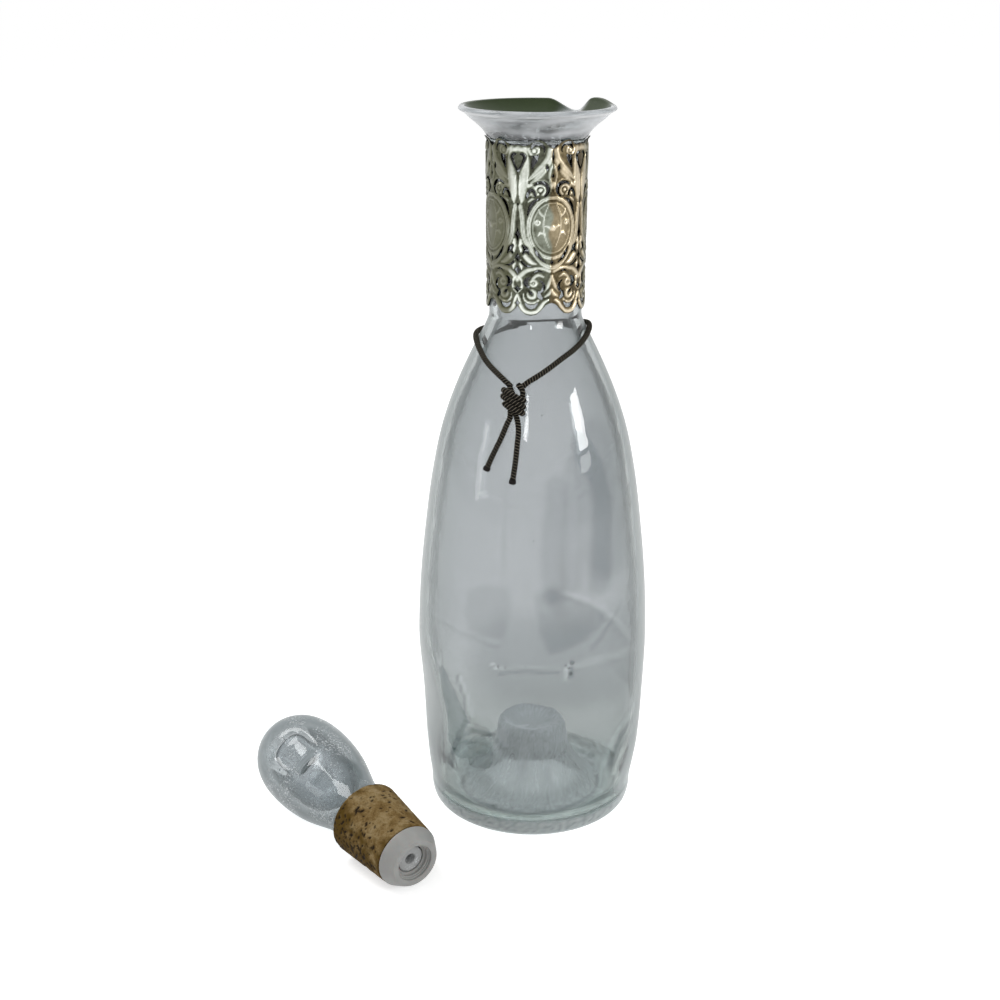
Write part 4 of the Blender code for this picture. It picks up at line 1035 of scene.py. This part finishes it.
# edge, rimStart and rimEnd give the finial's painted edge shade at its slanting sides
finial = {"length": 0.0727, "radius": 0.0200, "neck": 0.0119, "wall": 0.0052, "bubbleFoot": 1.5,
          "dimple": 0.0026, "half": 0.0105, "turn": math.radians(40), "depths": (1.0, 0.0, 0.4, 0.0),
          "reach": 1.12, "slope": 0.62, "segments": 120, "seeds": 150, "seedRows": (0.30, 0.86),
          "seedDepth": (0.0036, 0.0044), "seedSize": (0.00010, 0.00038), "stemRound": 0.0006,
          "stemOpen": 0.004, "neckSwell": 0.0002, "neckRise": 0.003,
          "tint": (0.83, 0.865, 0.89), "low": (0.6, 0.6, 0.6), "green": (0.40, 0.56, 0.54), "density": 14.0,
          "cover": (0.40, 0.405, 0.40), "milk": (0.74, 0.76, 0.78), "crackle": 0.65,
          "edge": (0.22, 0.255, 0.265), "rimStart": 0.20, "rimEnd": 0.62}
finialLine = ((0.0, 0.0), (0.10, 0.07), (0.19, 0.25), (0.28, 0.50), (0.38, 0.76), (0.50, 0.94), (0.625, 1.0))
finialEnd = ((0.33, 0.965), (0.58, 0.86), (0.79, 0.66), (0.93, 0.39), (1.0, 0.0))
bubbleLine = ((0.0, 0.0), (0.14, 0.42), (0.32, 0.78), (0.54, 0.97), (0.72, 0.97), (0.87, 0.76), (0.96, 0.42))


def finialWarp(radius, turn, height):
    # the flat faces pressed into its sides, as far in as the bubble
    if radius < finial["neck"] / 2 or height < stemTop:
        return radius, height
    middle = stemTop + finialLine[-1][0] * finial["length"] - finial["half"] / 2
    for index, depth in enumerate(finial["depths"]):
        apart = abs((turn - finial["turn"] - index * math.tau / 4 + math.pi) % math.tau - math.pi)
        across = apart * finial["radius"] / finial["half"]
        along = abs(height - middle) / finial["half"]
        reach = (across ** 4 + along ** 4) ** 0.25
        radius -= finial["dimple"] * depth * smoothStep((finial["reach"] - reach) / finial["slope"])
    return radius, height


def makeFinial():
    f = finial
    end = stemTop + f["length"]
    belly = stemTop + finialLine[-1][0] * f["length"]
    outer = traced(finialLine, f["neck"], f["radius"], stemTop, end)
    outer += traced(finialEnd, 0.0, f["radius"], belly, end)
    outer = [(max(0.0, float(r)), float(z)) for r, z in curveThrough(outer, 5)]
    bubble = traced(bubbleLine, stopper["stemBore"], f["radius"] - f["wall"],
                    stemTop + f["wall"] * f["bubbleFoot"], end - f["wall"])
    bubble = [(0.0, end - f["wall"])] + bubble[::-1]
    bubble = [(max(0.0, float(r)), float(z)) for r, z in curveThrough(bubble, 5)]
    bore, inset, stem = (stopper[key] for key in ("stemBore", "stemInset", "stem"))
    stem = [(bore, inset + f["stemOpen"]), (bore, inset), (stem, inset), (stem, stemTop),
            (f["neck"], stemTop), (f["neck"] + f["neckSwell"], stemTop + f["neckRise"])]
    stem = rounded(stem, f["stemRound"], closed=False)
    profile = bubble + stem + outer[3:]
    points, faces = turnedShape(profile, f["segments"], finialWarp)
    rng = np.random.default_rng(7)
    places, sizes = [], []
    for index in range(f["seeds"]):
        turn, share = rng.uniform(0, math.tau), rng.uniform(*f["seedRows"])
        height = stemTop + share * f["length"]
        reach = float(np.interp(height, [z for _, z in outer], [r for r, _ in outer]))
        places.append(stopperPlace @ around(reach - rng.uniform(*f["seedDepth"]), turn, height))
        sizes.append(f["seedSize"][0] + f["seedSize"][1] * rng.random() ** 2)
    covered = [smoothStep((stopper["gap"] - (z - stemTop)) / f["stemRound"]) * 0.9 for _, _, z in points]
    layers = {"covered": covered, "tone": [0.5] * len(points), "calm": [0.0] * len(points)}
    piece = stopperPiece("glassFinial", points, faces, glassMaterial("finialGlass", f),
                         "stopper_finial", stored=layers)
    airSeeds(piece, places, sizes)


cork = {"topRadius": 0.0159, "footRadius": 0.0134, "edge": 0.0006, "segments": 200, "rows": 84, "pits": 620,
        "deep": 0.00034, "wobble": 0.00012, "pitSize": (0.00012, 0.00066), "pitReach": 0.0026,
        "pittedTurn": 112, "stainTop": 0.010, "stainFoot": 0.003}


def corkFinish():
    material, finish = newMaterial("corkBark")
    pit, stain = finish.stored("pit"), finish.stored("stain")
    cloud = finish.fleck(150.0, 5.0, 0.7)
    grain = finish.fleck(1500.0, 3.0, 0.6)
    barks = [(0.34, (0.085, 0.047, 0.012)), (0.46, (0.185, 0.118, 0.042)),
             (0.57, (0.27, 0.195, 0.092)), (0.76, (0.36, 0.275, 0.160))]
    base = finish.ramp(cloud * 0.75 + grain * 0.25, barks)
    stained = finish.blend(stain, base, (0.080, 0.045, 0.004))
    specks = finish.grey(finish.fleck(760.0, 2.0, 0.6), 0.58, 0.68) * (stain * 0.5 + 0.35)
    colour = finish.blend(pit, finish.blend(specks, stained, (0.050, 0.026, 0.006)), (0.008, 0.004, 0.002))
    finish.skin({"Base Color": colour, "Roughness": 0.88 - stain * 0.12, "Specular IOR Level": 0.12,
                 "Normal": finish.rough(grain * 0.6 + cloud * 0.4, 0.00022, 0.8)})
    return material


def makeCork():
    c = cork
    bore = stopper["stem"] + stopper["gap"] * 2 + stopper["sleeve"]
    edge, near = c["edge"], c["edge"] * 0.3
    rows = [corkFoot + edge + (corkTop - corkFoot - 2 * edge) * k / c["rows"] for k in range(c["rows"] + 1)]
    wall = [(float(np.interp(z, (corkFoot, corkTop), (c["footRadius"], c["topRadius"]))), z) for z in rows]
    low, high = wall[0][0], wall[-1][0]
    line = [(bore, corkFoot), (low - edge, corkFoot), (low - near, corkFoot + near)] + wall
    line += [(high - near, corkTop - near), (high - edge, corkTop), (bore, corkTop)]
    rng = np.random.default_rng(23)
    turns = rng.uniform(0, math.tau, c["pits"])
    heights = corkFoot + rng.uniform(0.02, 0.99, c["pits"]) ** 0.72 * stopper["cork"]
    crowd = rng.random(c["pits"]) < 0.5
    turns = np.where(crowd, math.radians(c["pittedTurn"]) + rng.normal(0.0, 0.5, c["pits"]), turns)
    sizes = c["pitSize"][0] + c["pitSize"][1] * rng.random(c["pits"]) ** 3.0
    slants = rng.uniform(-0.9, 0.9, c["pits"])

    def pitDepth(turn, height):
        near = np.abs(heights - height) < c["pitReach"]
        x = ((turn - turns[near] + math.pi) % math.tau - math.pi) * c["topRadius"]
        y = height - heights[near]
        along = x * np.cos(slants[near]) + y * np.sin(slants[near])
        over = y * np.cos(slants[near]) - x * np.sin(slants[near])
        wobble = 1 + 0.4 * noise.noise(Vector((turn * 9, height * 1800, 3.0)))
        away = np.hypot(along / 2.0, over) / (sizes[near] * wobble)
        return float(np.max(np.clip(1.35 - away, 0, 1), initial=0.0))

    def barkWarp(radius, turn, height):
        if radius < bore + 0.0005:
            return radius, height
        here = Vector((radius * math.sin(turn), radius * math.cos(turn), height))
        bumps = noise.noise(here * 260) * c["wobble"] + noise.noise(here * 900) * c["wobble"] * 0.5
        return radius - abs(bumps) - pitDepth(turn, height) * c["deep"], height

    points, faces = turnedShape(line, c["segments"], barkWarp, closed=True)
    pitted, stains = [], []
    for x, y, z in points:
        turn = math.atan2(x, -y)
        pitted.append(smoothStep(pitDepth(turn, z) * 1.1))
        spot = Vector((x, y, z))
        cloudy = noise.noise(spot * 170) * 0.9 + noise.noise(spot * 520) * 0.5
        above = smoothStep((z - corkTop + c["stainTop"]) / 0.009) * 0.8
        below = smoothStep((corkFoot + c["stainFoot"] - z) / c["stainFoot"]) * 0.4
        leftSide = max(0.0, math.cos(turn - math.radians(c["pittedTurn"]))) ** 2 * 1.3
        stains.append(min(1.0, max(0.0, cloudy * 1.2 + (above + below) + leftSide - 0.30)))
    stopperPiece("corkPlug", points, faces, corkFinish(), "stopper_cork", 55,
                 {"pit": pitted, "stain": stains})


liner = {"plastic": (0.33, 0.33, 0.318), "segments": 96, "round": 0.0006, "soft": 0.0004, "ringWall": 0.0011,
         "endRound": 0.0012, "edgeRound": 0.0007, "lip": (0.0005, 0.0006)}


def linerFinish():
    material, finish = newMaterial("linerPlastic")
    cloud = finish.fleck(190.0, 3.0)
    scuff = finish.fleck(1700.0, 2.0)
    darker = [value * 0.86 for value in liner["plastic"]]
    tone = finish.blend(finish.grey(cloud, 0.3, 0.7), liner["plastic"], darker)
    finish.skin({"Base Color": tone, "Roughness": 0.36 + scuff * 0.2, "Subsurface Weight": 0.12,
                 "Subsurface Scale": 0.002, "Normal": finish.rough(cloud * 0.6 + scuff * 0.4, 0.00008, 0.5)})
    return material


def makeLiner():
    s = stopper
    bore = s["stem"] + s["gap"]
    sleeve = bore + s["sleeve"]
    step = (s["recess"] + bore) / 2
    soft, shallow = liner["soft"], s["recessDepth"]
    deep, top = shallow + s["stepDepth"], corkTop - s["gap"]
    line = [(s["recess"], soft / 2), (s["recess"] + liner["ringWall"], 0.0), (s["endRadius"] - soft, 0.0),
            (s["endRadius"] + soft, liner["endRound"]), (s["flangeRadius"], s["flange"] - liner["edgeRound"]),
            (s["flangeRadius"] - soft / 2, s["flange"]), (sleeve, s["flange"]), (sleeve, top), (bore, top),
            (bore, deep), (step, deep), (step, shallow), (s["recess"] - soft, shallow),
            (s["recess"] - soft, shallow - liner["lip"][0]), (s["recess"], shallow - liner["lip"][1])]
    points, faces = turnedShape(rounded(line, liner["round"] / 2), liner["segments"], closed=True)
    stopperPiece("plugLiner", points, faces, linerFinish(), "stopper_liner", 50)


stopperPlace = layStopper()
makeFinial()
makeCork()
makeLiner()
print("stopper made")


# floor, light and world
light = {"floorGlow": 0.60, "floor": (0.80, 0.80, 0.80), "floorReach": 18.0, "world": 0.50, "white": 1.0,
         "aim": 0.17}
# name, turn from the front, height in degrees, distance, width, height, power
lamps = (("windowRight", 62, 17, 1.3, 0.30, 0.40, 4.6), ("paneRight", 62, 4, 1.3, 0.30, 0.11, 0.4),
         ("windowFront", -10, 24, 1.4, 0.09, 0.34, 0.8), ("windowLeft", -64, 6, 1.4, 0.14, 0.46, 0.35),
         ("overhead", -100, 54, 1.6, 0.8, 0.8, 12.0))


def whiteRays(finish):
    # camera, mirror and see-through rays all find the white surroundings
    kinds = ("Camera", "Glossy", "Transmission")
    rays = [finish.make("LightPath", None, None, f"Is {kind} Ray") for kind in kinds]
    return finish.grey(rays[0] + rays[1] + rays[2], 0.0, 1.0)


def makeFloor():
    material, finish = newMaterial("paleFloor")
    glow = finish.blend(whiteRays(finish), (0.0, 0.0, 0.0), (1.0, 1.0, 1.0))
    finish.skin({"Base Color": (*light["floor"], 1.0), "Roughness": 0.9, "Specular IOR Level": 0.0,
                 "Emission Color": glow, "Emission Strength": light["floorGlow"]})
    reach, sides, under = light["floorReach"], 48, 0.00005
    points = [(reach * math.sin(math.tau * k / sides), reach * math.cos(math.tau * k / sides), -under)
              for k in range(sides)]
    mesh = bpy.data.meshes.new("floor")
    mesh.from_pydata(points, [], [tuple(range(sides))[::-1]])
    mesh.materials.append(material)
    floor = bpy.data.objects.new("floor", mesh)
    scene.collection.objects.link(floor)


def makeWorld():
    world = bpy.data.worlds.new("studio")
    scene.world = world
    world.use_nodes = True
    finish = Finish(world.node_tree)
    colour = finish.blend(whiteRays(finish), (light["world"],) * 3, (light["white"],) * 3)
    finish.make("OutputWorld", None, {"Surface": finish.make("Background", None, {"Color": colour})})


def softLamp(name, turn, height, distance, width, tall, power):
    data = bpy.data.lights.new(name, "AREA")
    data.shape = "RECTANGLE"
    data.size, data.size_y = width, tall
    data.energy = power
    lamp = bpy.data.objects.new(name, data)
    aim = axisFoot + Vector((0.0, 0.0, light["aim"]))
    away = Vector((math.sin(math.radians(turn)) * math.cos(math.radians(height)),
                   -math.cos(math.radians(turn)) * math.cos(math.radians(height)),
                   math.sin(math.radians(height))))
    lamp.location = aim + away * distance
    lamp.rotation_mode = "QUATERNION"
    lamp.rotation_quaternion = away.to_track_quat("Z", "Y")
    scene.collection.objects.link(lamp)


makeFloor()
makeWorld()
for lamp in lamps:
    softLamp(*lamp)
print("floor and lights made")
